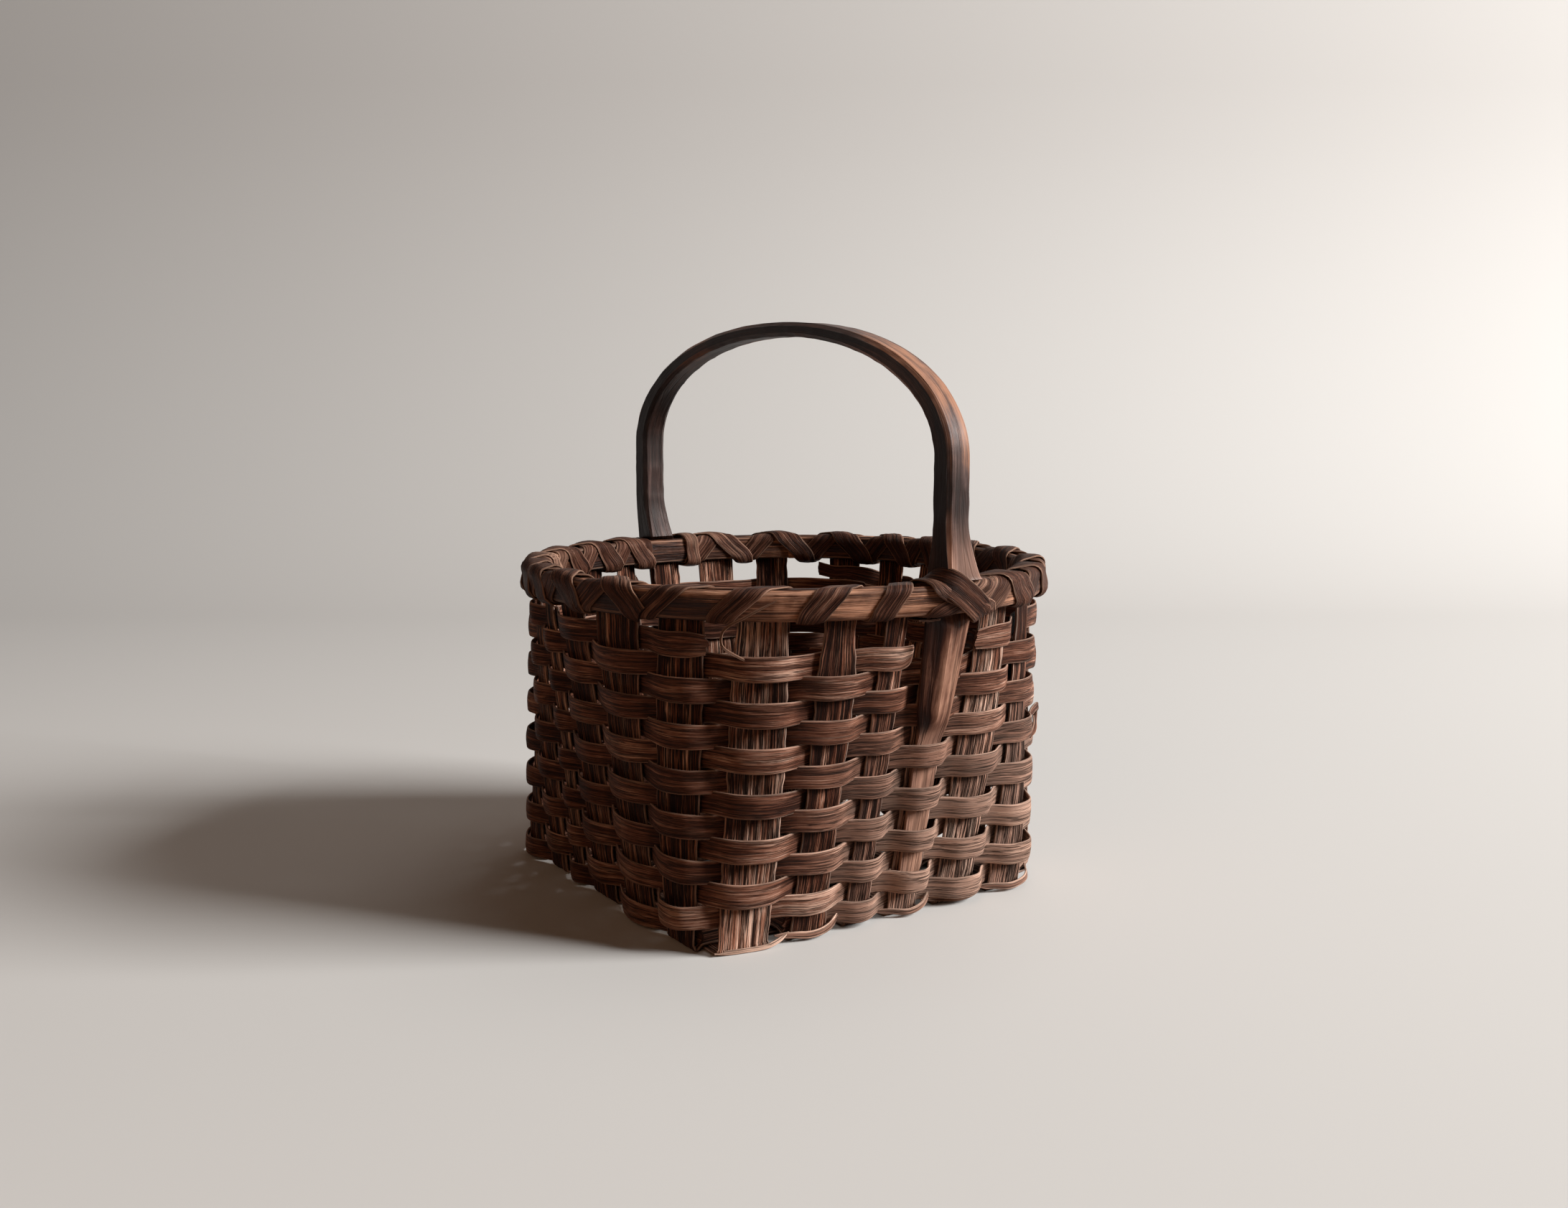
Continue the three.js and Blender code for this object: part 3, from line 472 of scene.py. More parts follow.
WOODS["handle_wood"] = wood(
    "handle_wood", (0.38, 0.01, 0.0042, 0.003), (0.46, 0.033, 0.0165, 0.013), (0.53, 0.092, 0.054, 0.046),
    (0.64, 0.36, 0.18, 0.11), wear=(0.62, 0.37, 0.28), surface=(0.42, 0.2, 0.5), fibres=(1.5, 0.4),
    mixed=(0.5, 0.34, 0.16), marks=(0.4, 0.34, 0.55), cracks=(0.4, 0.01, 0.034), edge_wear=0.8,
    pore=(0.004, 0.002, 0.0014))
TAIL_WOOD = wood(
    "tail_wood", (0.36, 0.008, 0.0022, 0.0013), (0.46, 0.034, 0.0115, 0.0068), (0.54, 0.14, 0.064, 0.042),
    (0.64, 0.4, 0.22, 0.15), wear=(0.55, 0.34, 0.26), surface=(0.5, 0.08, 0.6), fibres=(1.5, 0.4),
    mixed=(0.45, 0.36, 0.19), marks=(0.35, 0.36, 0.7), cracks=(0.6, 0.01, 0.036), edge_wear=0.7)


# Uprights: down one wall, over and under across the base, and up the wall opposite
# How much narrower an upright is under the rim than on the wall
USUAL_TAPER, TOP_TAPER = 0.06, {0: 0.1, 1: 0.24, 2: 0.12}
TAPER_START, TAPER_LENGTH = 78, 22
UPRIGHT_BOW, UPRIGHT_WANDER, UPRIGHT_RAGGED = 0.16, 0.16, 0.22
BASE_SLOPE, BASE_FLAT_MORE = 4.4, 0.4


def wall_grid(index, shares, rng, heights):
    """The middle surface of an upright from the fold up, pushed in and out by the rows."""
    width = UPRIGHTS[index][1]
    push = np.zeros(len(heights))
    for row in range(1, ROWS + 1):
        if holds(row, index):
            way = -1 if goes_outside(row, index) else 1
            push += way * bell(heights, row_middle(row, index), 0.42 * ROW_PITCH)
    heights, push = heights[:, None], push[:, None]
    wander = UPRIGHT_WANDER * noise1(rng, heights, 26)
    taper = TOP_TAPER.get(index, USUAL_TAPER) * smooth((heights - TAPER_START) / TAPER_LENGTH)
    narrow = 1 - 0.03 * (1 + noise1(rng, heights, 15)) - taper
    ragged = UPRIGHT_RAGGED * noise1(rng, heights, 2.7)
    v = shares - 0.5
    aside = wander + ragged * (np.abs(v) * 2) ** 6 * np.sign(v)
    return surf(2 * index + 0.5 + v * narrow + aside / width, heights, UPRIGHT_BOW * push)


def fold_line(index, shares):
    """The bend from the base up to the foot of the wall."""
    top = UPRIGHT_THICK / 2 + FOLD
    radius = FOLD + 0.25
    angles = np.linspace(0.12, math.pi / 2, 7)
    out = radius * (np.sin(angles) - 1)
    a, b = (wall_point(edge_along(edge, top), top, out) for edge in (2 * index, 2 * index + 1))
    grid = a[:, None] + (b - a)[:, None] * shares[:, None]
    grid[..., 2] = UPRIGHT_THICK / 2 + radius * (1 - np.cos(angles))[:, None]
    return grid


def base_grid(number, is_long, shares, start, end):
    """Across the base from one fold to the other, over every other strip that crosses it."""
    strips, others = (LONG, CROSS) if is_long else (CROSS, LONG)
    middle, width = strips[number]
    at = np.linspace(start, end, 90)[1:-1]
    rise = np.zeros(len(at))
    for order, (other, other_width) in enumerate(others):
        if (number + order) % 2 == int(is_long):
            reach = other_width / 2 + BASE_FLAT_MORE + BASE_SLOPE
            rise = np.maximum(rise, smooth((reach - np.abs(at - other)) / BASE_SLOPE))
    z = UPRIGHT_THICK / 2 + rise * (UPRIGHT_THICK + CLEAR)
    along, across = at[:, None], middle + (shares - 0.5) * width
    return layers(along, across, z[:, None]) if is_long else layers(across, along, z[:, None])


def upright(number, is_long):
    middle, width = (LONG if is_long else CROSS)[number]
    rng = np.random.default_rng(100 + number + (0 if is_long else 50))
    shares = across_shares(int(width * 1.3))
    heights = np.linspace(UPRIGHT_THICK / 2 + FOLD + 0.5, RIM_TOP - UPRIGHT_TRIM, 120)
    walls = []
    for index, (place, _, side, sign) in enumerate(UPRIGHTS):
        if place == middle and (side % 2 == 0) == is_long:
            # Where travel round the basket runs against the strip, its shares are turned
            s = 1 - shares if sign < 0 else shares
            walls.append(np.concatenate([fold_line(index, s), wall_grid(index, s, rng, heights)]))
    start, end = (wall[0, :, 0 if is_long else 1].mean() for wall in walls[::-1])
    mid = np.concatenate([walls[1][::-1], base_grid(number, is_long, shares, start, end), walls[0]])
    u, v = middle_run(mid), (shares - 0.5) * width
    thick = UPRIGHT_THICK * 0.82 + 0.2 * noise2(rng, u, v, 34, 1.5) + 0.16 * noise2(rng, u, v, 16, 0.8)
    tone = 0.5 + rng.uniform(-0.14, 0.14)
    seed = number + (1 if is_long else 20)
    return [strip(mid, shares, thick, width, seed, tone, paler_low(mid, 0.4, 90, -30, 40))]


# Weavers: drawn taller than their solids, so that the rows close up, and lower in the gaps
WEAVER_SEEN_TALL, WEAVER_RISE_TALL, WEAVER_GAP_TALL, TORN_SHARE = 7.5, 7.55, 7.2, 0.72
WEAVER_GRAIN_WIDTH, RAGGED_TIP = 7, 1.2


def slack(row, index):
    """How loose a row lies over an upright. The lower rows bulge on the +X side."""
    if (row, index) == (LOW_BULGED_ROW, N_UP - 1):
        return 0.9
    return {2: 0.35, 3: 0.8, 4: 1, 5: 0.8}.get(index, 0) * min(1, max(0, (9 - row) / 6))


def weaver_stops(rng, row, start, crossings, laps, rise):
    """Where a weaver passes, as columns: place, height, out, how tall and how much cupped it is."""
    stops = []
    for k in range(crossings):
        index = (start + k) % N_UP
        width = UPRIGHTS[index][1]
        outside = goes_outside(row, index)
        out = WEAVER_OUT if outside else -WEAVER_OUT
        if outside and index in LEGS and row <= last_covered(index):
            out = FACE_OUT + TAIL_THICK_LOW + CLEAR + WEAVER_THICK / 2
        if laps and k == crossings - 1:
            out -= WEAVER_THICK + CLEAR
        loose = slack(row, index) if outside else 0
        z = row_middle(row, index) + rng.uniform(-0.14, 0.14) + rise * max(0, k + 3 - crossings)
        bow = (0.7 + 0.07 * width) * (1 if outside else 0.4) + rng.uniform(0, 0.3) + 2 * loose
        bow *= 1 if out > 0 else -1
        place = 2 * (start + k)
        cup = rng.uniform(0.16, 0.5) if outside else 0.1
        sag = (0.3 if outside else 0) + 0.8 * loose
        spread = np.interp(width, [8, 18], [0.12, 0.27])
        peak = rng.uniform(0.5, 0.6)
        if k > 0:
            before = row_middle(row, index - 1) + rise * max(0, k + 2 - crossings)
            stops.append((place - 0.5, (z + before) / 2 + (0.3 if outside else -0.3), 0, WEAVER_GAP_TALL, 0))
        # Where the torn piece slips up it has lost its lower edge
        left = TORN_SHARE if rise and k > crossings - 3 else 1
        more_tall = WEAVER_RISE_TALL + rng.uniform(-0.3, 0.2)
        stops += [(place + peak - spread, z - 0.7 * sag, out + 0.9 * bow, WEAVER_SEEN_TALL * left, cup),
                  (place + peak + spread, z - 0.5 * sag, out + bow, more_tall * left, cup)]
    if not laps:
        # Torn ends run a little past their last upright and narrow, at the tear to a tusk
        torn = row == TORN_ROW and start == TEAR
        stops.insert(0, (2 * start - (0.6 if torn else 0.35), stops[0][1] - 0.3, 0.6 * stops[0][2], 6, 0))
        end, z, out = 2 * (start + crossings) - 1, stops[-1][1], stops[-1][2]
        if torn:
            stops += [(end - 0.15, z + 0.4, out + 0.3, 6.9, 0), (end - 0.02, z + 1.2, out + 0.7, 5.4, 0),
                      (end + 0.04, z + 3, out + 0.6, 1.2, 0)]
        else:
            stops.append((end + 0.25, z + 0.4 * rise, 0.7 * out, 5.4, 0))
    return np.array(stops).T[..., None]


def weaver_piece(rng, row, start, crossings, laps, rise=0):
    place, middle, out, tall, cup = weaver_stops(rng, row, start, crossings, laps, rise)
    shares = across_shares(5)
    v = shares - 0.5
    mid, at = spline(surf(place, middle + v * tall, out + cup * (0.35 - 4 * v ** 2)), 8)
    u = middle_run(mid)
    mid[..., 2] += 0.13 * noise1(rng, u, 30) + 0.09 * noise1(rng, u, 14) * 2 * v
    if not laps:
        # The tip is ragged over the width
        for tip, way in ((0, 1), (-1, -1)):
            pull = RAGGED_TIP * (rng.uniform(0, 1, len(shares)) + np.abs(v) * 2)
            if row == TORN_ROW and way < 0:
                pull *= 0.25
            move = smooth(1 - np.abs(u - u[tip]) / 4) * pull
            mid += move[..., None] * unit(mid[way * 4 + tip] - mid[tip])
    over = v * WEAVER_TALL
    thick = WEAVER_THICK * 0.84 + 0.07 * noise2(rng, u, over, 30, 1) + 0.05 * noise2(rng, u, over, 12, 0.6)
    tone = 0.5 + rng.uniform(-0.1, 0.1) + 0.07 * noise1(rng, u, 60)
    # Painted shade: a splint is darker where it goes in between the uprights
    depth = np.interp(at, np.arange(len(out)), np.clip(out[:, 0], 0, None))[:, None]
    tone -= 0.1 * (1 - smooth(depth / 1.6))
    pale = paler_low(mid, 0.62, 80, -45, 50)
    return strip(mid, shares, thick, WEAVER_GRAIN_WIDTH, row + 40 + start / 10, tone, pale)


def low_shreds():
    """Shreds of the lowest weaver with pale upper edges, outside four uprights of the +X side, and a pale
    strip over the first."""
    parts = []
    for index, tall, bulge in ((1, 2, 1.7), (3, 1.7, 2.8), (4, 1.2, 2.6), (5, 2, 2.4)):
        i = 2 * index
        spots = [(i - 0.7, 2.9, -0.4), (i, 2.4, 1.2), (i + 0.5, 1.9, 1.5 + bulge),
                 (i + 1, 2.9, 1.6 + 0.6 * bulge), (i + 1.6, 5.2, 0.4)]
        edge = [(place, z + 0.46 * tall, out - 0.35) for place, z, out in spots[1:]]
        parts += [sliver(spots, wall_out(index), tall, 0.6, 90 + index, 0.5, 0.2),
                  sliver(edge, wall_out(index), 0.6, 0.5, 95 + index, 0.8, 0.9, 6)]
    spots = [(-0.1, 1, 0.5), (0.5, 0.9, 1.3), (1, 1.2, 1.7), (1.5, 2.2, 1.2), (1.9, 3.6, 0.4)]
    return parts + [sliver(spots, wall_out(0), 1.5, 0.5, 99, 0.75, 0.8)]


def looped_splinter():
    """A splinter lifted off a weaver at the far front corner."""
    z = row_middle(LOOPED_ROW, 6)
    spots = [(11, z + 2.6, 1.4), (11.8, z + 3, 2.8), (12.3, z + 1.2, 5), (12.4, z - 1.8, 4.8),
             (12.1, z - 4.4, 3.2), (11.5, z - 6.4, 1.6)]
    return sliver(spots, (0.9, 0.3, 0.3), 2.4, 0.6, 150, 0.36, 0)


def weaver(row):
    """A whole row, lapped over itself behind an upright, or what is left of a broken one."""
    rng = np.random.default_rng(300 + row)
    if row in BROKEN_ROWS:
        parts = [weaver_piece(rng, row, *BROKEN_ROWS[row], False)]
    else:
        near = row * LAP_STRIDE % N_UP
        start = (near + 1 if goes_outside(row, near) else near) % N_UP
        parts = [weaver_piece(rng, row, start, N_UP + 1, True)]
    if row == 1:
        parts += low_shreds()
    if row == LOOPED_ROW:
        parts.append(looped_splinter())
    return parts


def loose_weaver():
    """The piece from the handle to the tear, where it has slipped up and split."""
    parts = [weaver_piece(np.random.default_rng(340), TORN_ROW, *LOOSE, False, TORN_RISE)]
    end = 2 * TEAR
    for low, tip, width in ((3.3, 0.5, 1.3), (4.6, -0.1, 0.6)):
        z = row_middle(TORN_ROW, TEAR) + 2 * TORN_RISE - low
        spots = [(end - 2.1, z - 4.2, 1.6), (end - 1.1, z - 2.6, 0.9), (end - 0.5, z - 1.9, -0.6),
                 (end + 0.1, z - 0.9, -1.9), (end + tip, z - 0.2, -2.2)]
        parts.append(sliver(spots, wall_out(TEAR), width, 0.4, 140 + low, 0.5, 0.2))
    return parts


# Rim hoops
HOOP_ROUND = {True: 1.5, False: 1.3}
SCARF_GAP, BODY_STEPS, SCARF_STEPS = 0.25, 330, 33


def swell(place):
    """How much further out the outer hoop goes over the handle's legs."""
    def at_edge(edge):
        turned = np.mod(edge, 2 * N_UP)
        steps = np.min([np.maximum(0, np.maximum(2 * i - turned, turned - 2 * i - 1)) for i in LEGS], axis=0)
        return (NOTCH_THICK + CLEAR) * np.interp(steps, range(5), SWELL_SHARES + [0])
    e = np.floor(place)
    f = smooth(place - e)
    return at_edge(e) * (1 - f) + at_edge(e + 1) * f


def hoop(outer, first, seed):
    """A hoop clamped to the wall, whose two ends are scarfed over each other."""
    rng = np.random.default_rng(seed)
    thick = OUTER_HOOP_THICK if outer else INNER_HOOP_THICK
    tip, gap = SCARF_TIP / thick, SCARF_GAP / thick
    sign, corner, whole = 1 if outer else -1, HOOP_ROUND[outer], 2 * N_UP

    def seam(i):
        return tip + (1 - 2 * tip - gap) * i / SCARF_EDGES

    # Along the hoop: place, and the shares of its thickness where it starts and ends
    scarf = np.linspace(0, SCARF_EDGES, SCARF_STEPS)
    spots = [(i, 0, seam(i)) for i in scarf]
    spots += [(SCARF_EDGES + 0.05, 0, seam(SCARF_EDGES) + 0.02), (SCARF_EDGES + 0.3, 0, 1)]
    spots += [(i, 0, 1) for i in np.linspace(SCARF_EDGES + 0.5, whole - 0.5, BODY_STEPS)]
    spots += [(whole - 0.3, 0, 1), (whole - 0.05, seam(0) + gap, 1)]
    spots += [(whole + i, seam(i) + gap, 1) for i in scarf]
    place, start, end = np.array(spots).T[..., None]
    place += first
    # The section: flat against the wall, rounded on its free side
    angles = np.linspace(-math.pi / 2, 0, 7)
    low = [(-corner + corner * math.cos(a), corner + corner * math.sin(a)) for a in angles]
    side = [(0.35 * math.sin(math.pi * t), HOOP_TALL * t) for t in (0.27, 0.38, 0.5, 0.62, 0.73)]
    free_x, free_z = np.array(low + side + [(x, HOOP_TALL - z) for x, z in low[::-1]]).T
    u = middle_run(round_wall(place, RIM_TOP, sign * FACE_OUT))
    lift = 0.25 * noise1(rng, u, 60)
    body = thick * (1 - 0.05 * (1 + noise1(rng, u, 45)))
    near = FACE_OUT + (swell(place) if outer else 0)
    back = near + start * body
    squeeze = np.minimum(1, np.maximum((end - start) * body, 0.3) / (corner + 0.3))
    out = np.maximum(near + end * body + free_x * squeeze, back + 0.15)
    wall_z = np.linspace(HOOP_TALL - 0.25, 0.25, 5)
    rings = np.concatenate([round_wall(place, RIM_LOW + free_z + lift, sign * out),
                            round_wall(place, RIM_LOW + wall_z + lift, sign * back)], 1)
    m = rings.shape[1]
    carved = 0.07 * noise2(rng, u, np.arange(m) * 1.5, 12, 1.5)
    rings += unit(rings - rings.mean(1, keepdims=True)) * carved[..., None]
    uv = layers(u + seed * 97, lengths(rings[0]) + seed * 13)
    edge, count = np.zeros(m), len(free_x)
    edge[[3, 4, 5, count - 6, count - 5, count - 4]] = 0.75
    # Lighter on the near half of the +X side. The inner hoop, inside the basket, is darker as painted shade
    turned = np.mod(place + 12, whole) - 12
    tone = (0.47 if outer else 0.4) + 0.12 * bell(turned, 4, 4) + 0.13 * noise1(rng, u, 30)
    # Painted highlight: the top of the hoop is lighter, where the light falls on it
    tone = tone + np.where(rings[..., 2] > RIM_TOP - 0.9, 0.05, 0)
    return [tube(rings, uv, layers(edge, tone, 0))]


# Lashing, laid on both hoops as on one rounded section
RIM_ROUND = 1.7
RIM_SPAN = OUTER_HOOP_THICK + INNER_HOOP_THICK + 2 * FACE_OUT
CORE_TALL, CORE_WIDE = HOOP_TALL - 2 * RIM_ROUND, RIM_SPAN - 2 * RIM_ROUND
RIM_TURN = RIM_ROUND * math.pi / 2
RIM_GIRTH = 2 * (CORE_TALL + CORE_WIDE) + 4 * RIM_TURN
RIM_PLACES = np.linspace(-6, 4 * N_UP + 6, 3000)
RIM_ALONG = lengths(round_wall(RIM_PLACES, RIM_TOP, 0))
# Where the turns lie close and cover the hoops: place, reach and widening
CLOSE_TURNS = ((41, 4, 0.3), (11, 3, 0.2))
LASHING_GRAIN_WIDTH, STRAP_GRAIN_WIDTH = 7.4, 9


def rim_along(place):
    return np.interp(place, RIM_PLACES, RIM_ALONG)


def rim_place(along):
    return np.interp(along, RIM_ALONG, RIM_PLACES)


def rim_section(at):
    """A point at a distance up the outer face, over the top, down the inner face and back: how far out
    from the inner face, how far up, and the angle that it faces."""
    at = np.mod(at, RIM_GIRTH)
    core = np.array([CORE_TALL, CORE_WIDE, CORE_TALL, CORE_WIDE])
    begins = np.cumsum(core + RIM_TURN) - core - RIM_TURN
    side = np.searchsorted(begins, at, "right") - 1
    straight = np.minimum(at - begins[side], core[side])
    normal = side * math.pi / 2
    face = normal + (at - begins[side] - straight) / RIM_ROUND
    corner = np.array([(CORE_WIDE, 0), (CORE_WIDE, CORE_TALL), (0, CORE_TALL), (0, 0)])[side] + RIM_ROUND
    out = corner[..., 0] - np.sin(normal) * straight + RIM_ROUND * np.cos(face)
    up = corner[..., 1] + np.cos(normal) * straight + RIM_ROUND * np.sin(face)
    return out, up, face


def lashing(first_gap, loops, direction, second, seed):
    """One splint wound round both hoops, once through each gap between uprights."""
    rng = np.random.default_rng(seed)
    first, last = -RIM_TURN / 2, 2 * CORE_TALL + CORE_WIDE + 2.5 * RIM_TURN
    over = CORE_TALL + RIM_TURN / 2
    path = []
    for k in range(loops):
        gap = first_gap + direction * k
        start, end = rim_along(2 * gap + 1.5), rim_along(2 * (gap + direction) + 1.5)
        at_leg = (gap + 1 if direction > 0 else gap) % N_UP in LEGS
        wide = LASHING_SLANT_WIDTH * rng.uniform(0.88, 1.08)
        turned = (2 * gap + 3) % (2 * N_UP)
        wide *= 1 + sum(more * bell(turned, place, reach) for place, reach, more in CLOSE_TURNS)
        lean = rng.uniform(-1, 1)
        base = k * RIM_GIRTH
        for f in np.linspace(0, 1, 34):
            at = first + (last - first) * f
            # At a leg the splint has passed it before it is over the top
            share = min(1, 1.02 * (at - first) / (over - first)) if at_leg else f
            along = start + (end - start) * share + lean * math.sin(math.pi * f)
            path.append((along, base + at, wide * (0.72 if at_leg else 1), f))
        for f in np.linspace(0, 1, 8)[1:-1]:
            at = base + last + (RIM_GIRTH + first - last) * f
            path.append((end, at, wide * 0.9, 0 if f > 0.5 else 1))
    along, at, width, share = np.array(path).T[..., None]
    blur([1, 2, 3, 4, 3, 2, 1], along, width)
    line = layers(along, at)
    way = unit(np.gradient(line, axis=0))
    u = middle_run(line)
    width *= 1 + 0.05 * noise1(rng, u, 17)
    shares = across_shares(6)
    v = shares - 0.5
    s = along - way[..., 1] * v * width
    out, up, face = rim_section(at + way[..., 0] * v * width)
    off = 0.5
    if second:
        # The second splint rises where it crosses the first, and at the legs
        crossing = sum(bell(share, middle, reach) for middle, reach in ((0.5, 0.17), (0, 0.1), (1, 0.1)))
        legs = [rim_along(2 * (index + turn * N_UP) + 0.5) for index in LEGS for turn in (0, 1)]
        near_leg = np.min([np.abs(s - leg) for leg in legs], axis=0).mean(1, keepdims=True)
        off = 0.6 + 0.85 * np.clip(crossing, 0, 1) + 0.3 * smooth((12 - near_leg) / 5)
    lift = off + 0.16 * (0.35 - 4 * v ** 2) + 0.1 * noise2(rng, u, v * 7, 50, 1)
    place = rim_place(s)
    # Over a leg the outer hoop stands further out
    out = (out + lift * np.cos(face)) * (1 + swell(place) / RIM_SPAN) - FACE_OUT - INNER_HOOP_THICK
    mid = round_wall(place, RIM_LOW + up + lift * np.sin(face), out)
    thick = LASHING_THICK * 0.8 + 0.08 * noise2(rng, u, v * 7, 50, 0.8)
    return strip(mid, shares, thick, LASHING_GRAIN_WIDTH, seed, 0.5 + 0.09 * noise1(rng, u, 60))


def leg_strap():
    """The second splint's flat band over the +X leg's foot. Each stop is how far along from the leg's
    middle, out, height, the way the width runs in the same three, and the width."""
    rng = np.random.default_rng(620)
    stops = np.array([
        (8.6, -2.5, 99.4, 1, 0, 0, 6.5), (8.8, 3, 99, 1, 0.1, 0.1, 6.8), (8.4, 7, 99.2, 0.86, 0.1, 0.5, 7.2),
        (6.2, 8.7, 101, 0.66, 0, 0.75, 7.6), (2.6, 9.2, 103.8, 0.58, 0, 0.81, 8),
        (-1.8, 9.3, 106.9, 0.54, 0, 0.84, 8.2), (-5.9, 8.5, 109.8, 0.46, 0, 0.88, 8.4),
        (-8.4, 5.6, 111.2, 0.5, 0, 0.86, 8.4), (-9.3, 1.8, 111.4, 0.66, 0, 0.75, 8.2),
        (-9.4, -1.8, 110.9, 0.82, 0, 0.57, 8), (-9.2, -4.4, 109.2, 0.95, 0, 0.3, 7.6),
        (-9, -5.2, 105, 1, 0, 0, 7.2), (-9, -4.6, 100.4, 1, 0, 0, 6.8), (-9, -1.5, 99.2, 1, 0, 0, 6.5)])
    shares = across_shares(6)
    w = (shares - 0.5) * stops[:, 6:]
    spots = spline(stops[:, None, :3] + w[..., None] * stops[:, None, 3:6], 7)[0]
    place = rim_place(rim_along(2 * LEGS[0] + 0.5) + spots[..., 0])
    mid = round_wall(place, spots[..., 2], spots[..., 1])
    u = middle_run(mid)
    thick = LASHING_THICK * 0.9 + 0.1 * noise2(rng, u, shares * 9, 40, 0.9)
    return strip(mid, shares, thick, STRAP_GRAIN_WIDTH, 33, 0.47 + 0.05 * noise1(rng, u, 20))


def loose_fibre():
    """A thin fibre that curls off the lashing over the first upright."""
    spots = [(0.72, 107.5, 8.2), (0.3, 103, 8.8), (-0.15, 98, 7.4), (-0.2, 94, 5.4), (0.15, 90.5, 3.6),
             (0.55, 87.5, 3)]
    return sliver(spots, (0.6, -0.8, 0.2), 0.8, 0.35, 131, 0.6, 0.5)


# Handle
LEG_Y = [surf(2 * index + 0.5, RIM_TOP, 0)[1] - BOW_SHIFT for index in LEGS]
# Where each of the eight facets starts, in half widths and thicknesses and in chamfers from there, and
# the shares of a facet where its points lie
FACET_STARTS = np.array([(-1, -1, 0, 1), (-1, -1, 1, 0), (1, -1, -1, 0), (1, -1, 0, 1),
                         (1, 1, 0, -1), (1, 1, -1, 0), (-1, 1, 1, 0), (-1, 1, 0, -1)])
WIDE_FACET, CHAMFER_FACET = (0, 0.06, 0.2, 0.4, 0.6, 0.8, 0.94), (0, 0.12, 0.5, 0.88)
OUTER_FACET, WORN_FACET, SHADE_PAINTED_FACET = 5, 6, 7
TAIL_SEEN_FROM, TAIL_RIDGES = 62, (2, 0.95)


def handle_leg(side):
    """A tail, its notch and its shoulder, in rows of x, y, z, width, thickness and chamfer."""
    index, sx = LEGS[side], (1, -1)[side]
    covered = last_covered(index)
    half = WEAVER_TALL / 2
    tip = row_middle(2 if covered % 2 == 0 else 1, index) - half / 2
    shoulder = tip + TAIL_TIP_LENGTH
    dive = row_middle(covered, index) + half + CLEAR
    clear_rows = row_middle(covered + 2, index) - half - CLEAR
    top_row = row_middle(ROWS, index) + half + CLEAR

    def wide(z):
        return TAIL_WIDTH_LOW + (TAIL_WIDTH_HIGH - TAIL_WIDTH_LOW) * (z - tip) / (RIM_LOW - tip)

    low, free, notch = (FACE_OUT, TAIL_THICK_LOW), (FREE_TAIL_OUT, TAIL_THICK_HIGH), (FACE_OUT, NOTCH_THICK)
    stops = [(tip, *low, TAIL_TIP_WIDTH, 0.3), (tip + 1.2, *low, TAIL_TIP_WIDTH + 2.6, 0.3),
             (shoulder, *low, wide(shoulder), 0.3), (dive, *low, wide(dive), 0.3),
             (clear_rows, *free, wide(clear_rows), 0.4), (top_row, *free, TAIL_WIDTH_HIGH, 0.4),
             (RIM_LOW, *notch, TAIL_WIDTH_HIGH, 0.4), (RIM_TOP, *notch, TAIL_WIDTH_HIGH, 0.4)]
    rows = []
    for z, near, thick, width, cut in stops:
        x, y, z = surf(2 * index + 0.5, z, 0)
        rows.append((x + sx * (near + thick / 2), y, z, width, thick, cut))
    # The shoulder stands on both hoops and spreads inwards and along the rim
    for share in np.linspace(0, 1, 9):
        spread = (1 - share) ** SHOULDER_SHARPNESS
        inwards = SHOULDER_REACH_IN[side] * spread
        x = LEAN_X + sx * (BOW_HALF - inwards / 2)
        y = LEG_Y[side] + BOW_SHIFT * SHOULDER_RETURN[side] * spread
        width = HANDLE_WIDTH + 2 * SHOULDER_SPREAD[side] * spread
        rows.append((x, y, RIM_TOP + 2 * CLEAR + SHOULDER_LENGTH * share, width, LEG_THICK + inwards,
                     HANDLE_CHAMFER * (1 - spread) + 0.5 * spread))
    return rows


def handle_arch():
    """The bow between the legs, in the same rows, thinned toward the crown."""
    a = np.linspace(0, math.pi, 49)
    sine = np.maximum(np.sin(a), 0)
    x = np.sign(np.cos(a)) * BOW_HALF * np.abs(np.cos(a)) ** (2 / ARCH_POWER)
    y = LEG_Y[1] + (LEG_Y[0] - LEG_Y[1]) * (x + BOW_HALF) / (2 * BOW_HALF)
    z = SPRING_HEIGHT + (CROWN_HEIGHT - SPRING_HEIGHT) * sine ** (2 / ARCH_POWER)
    thick = LEG_THICK + (CROWN_THICK - LEG_THICK) * sine ** THINNING_SHARPNESS
    return layers(x + LEAN_X, y, z, HANDLE_WIDTH, thick, HANDLE_CHAMFER)


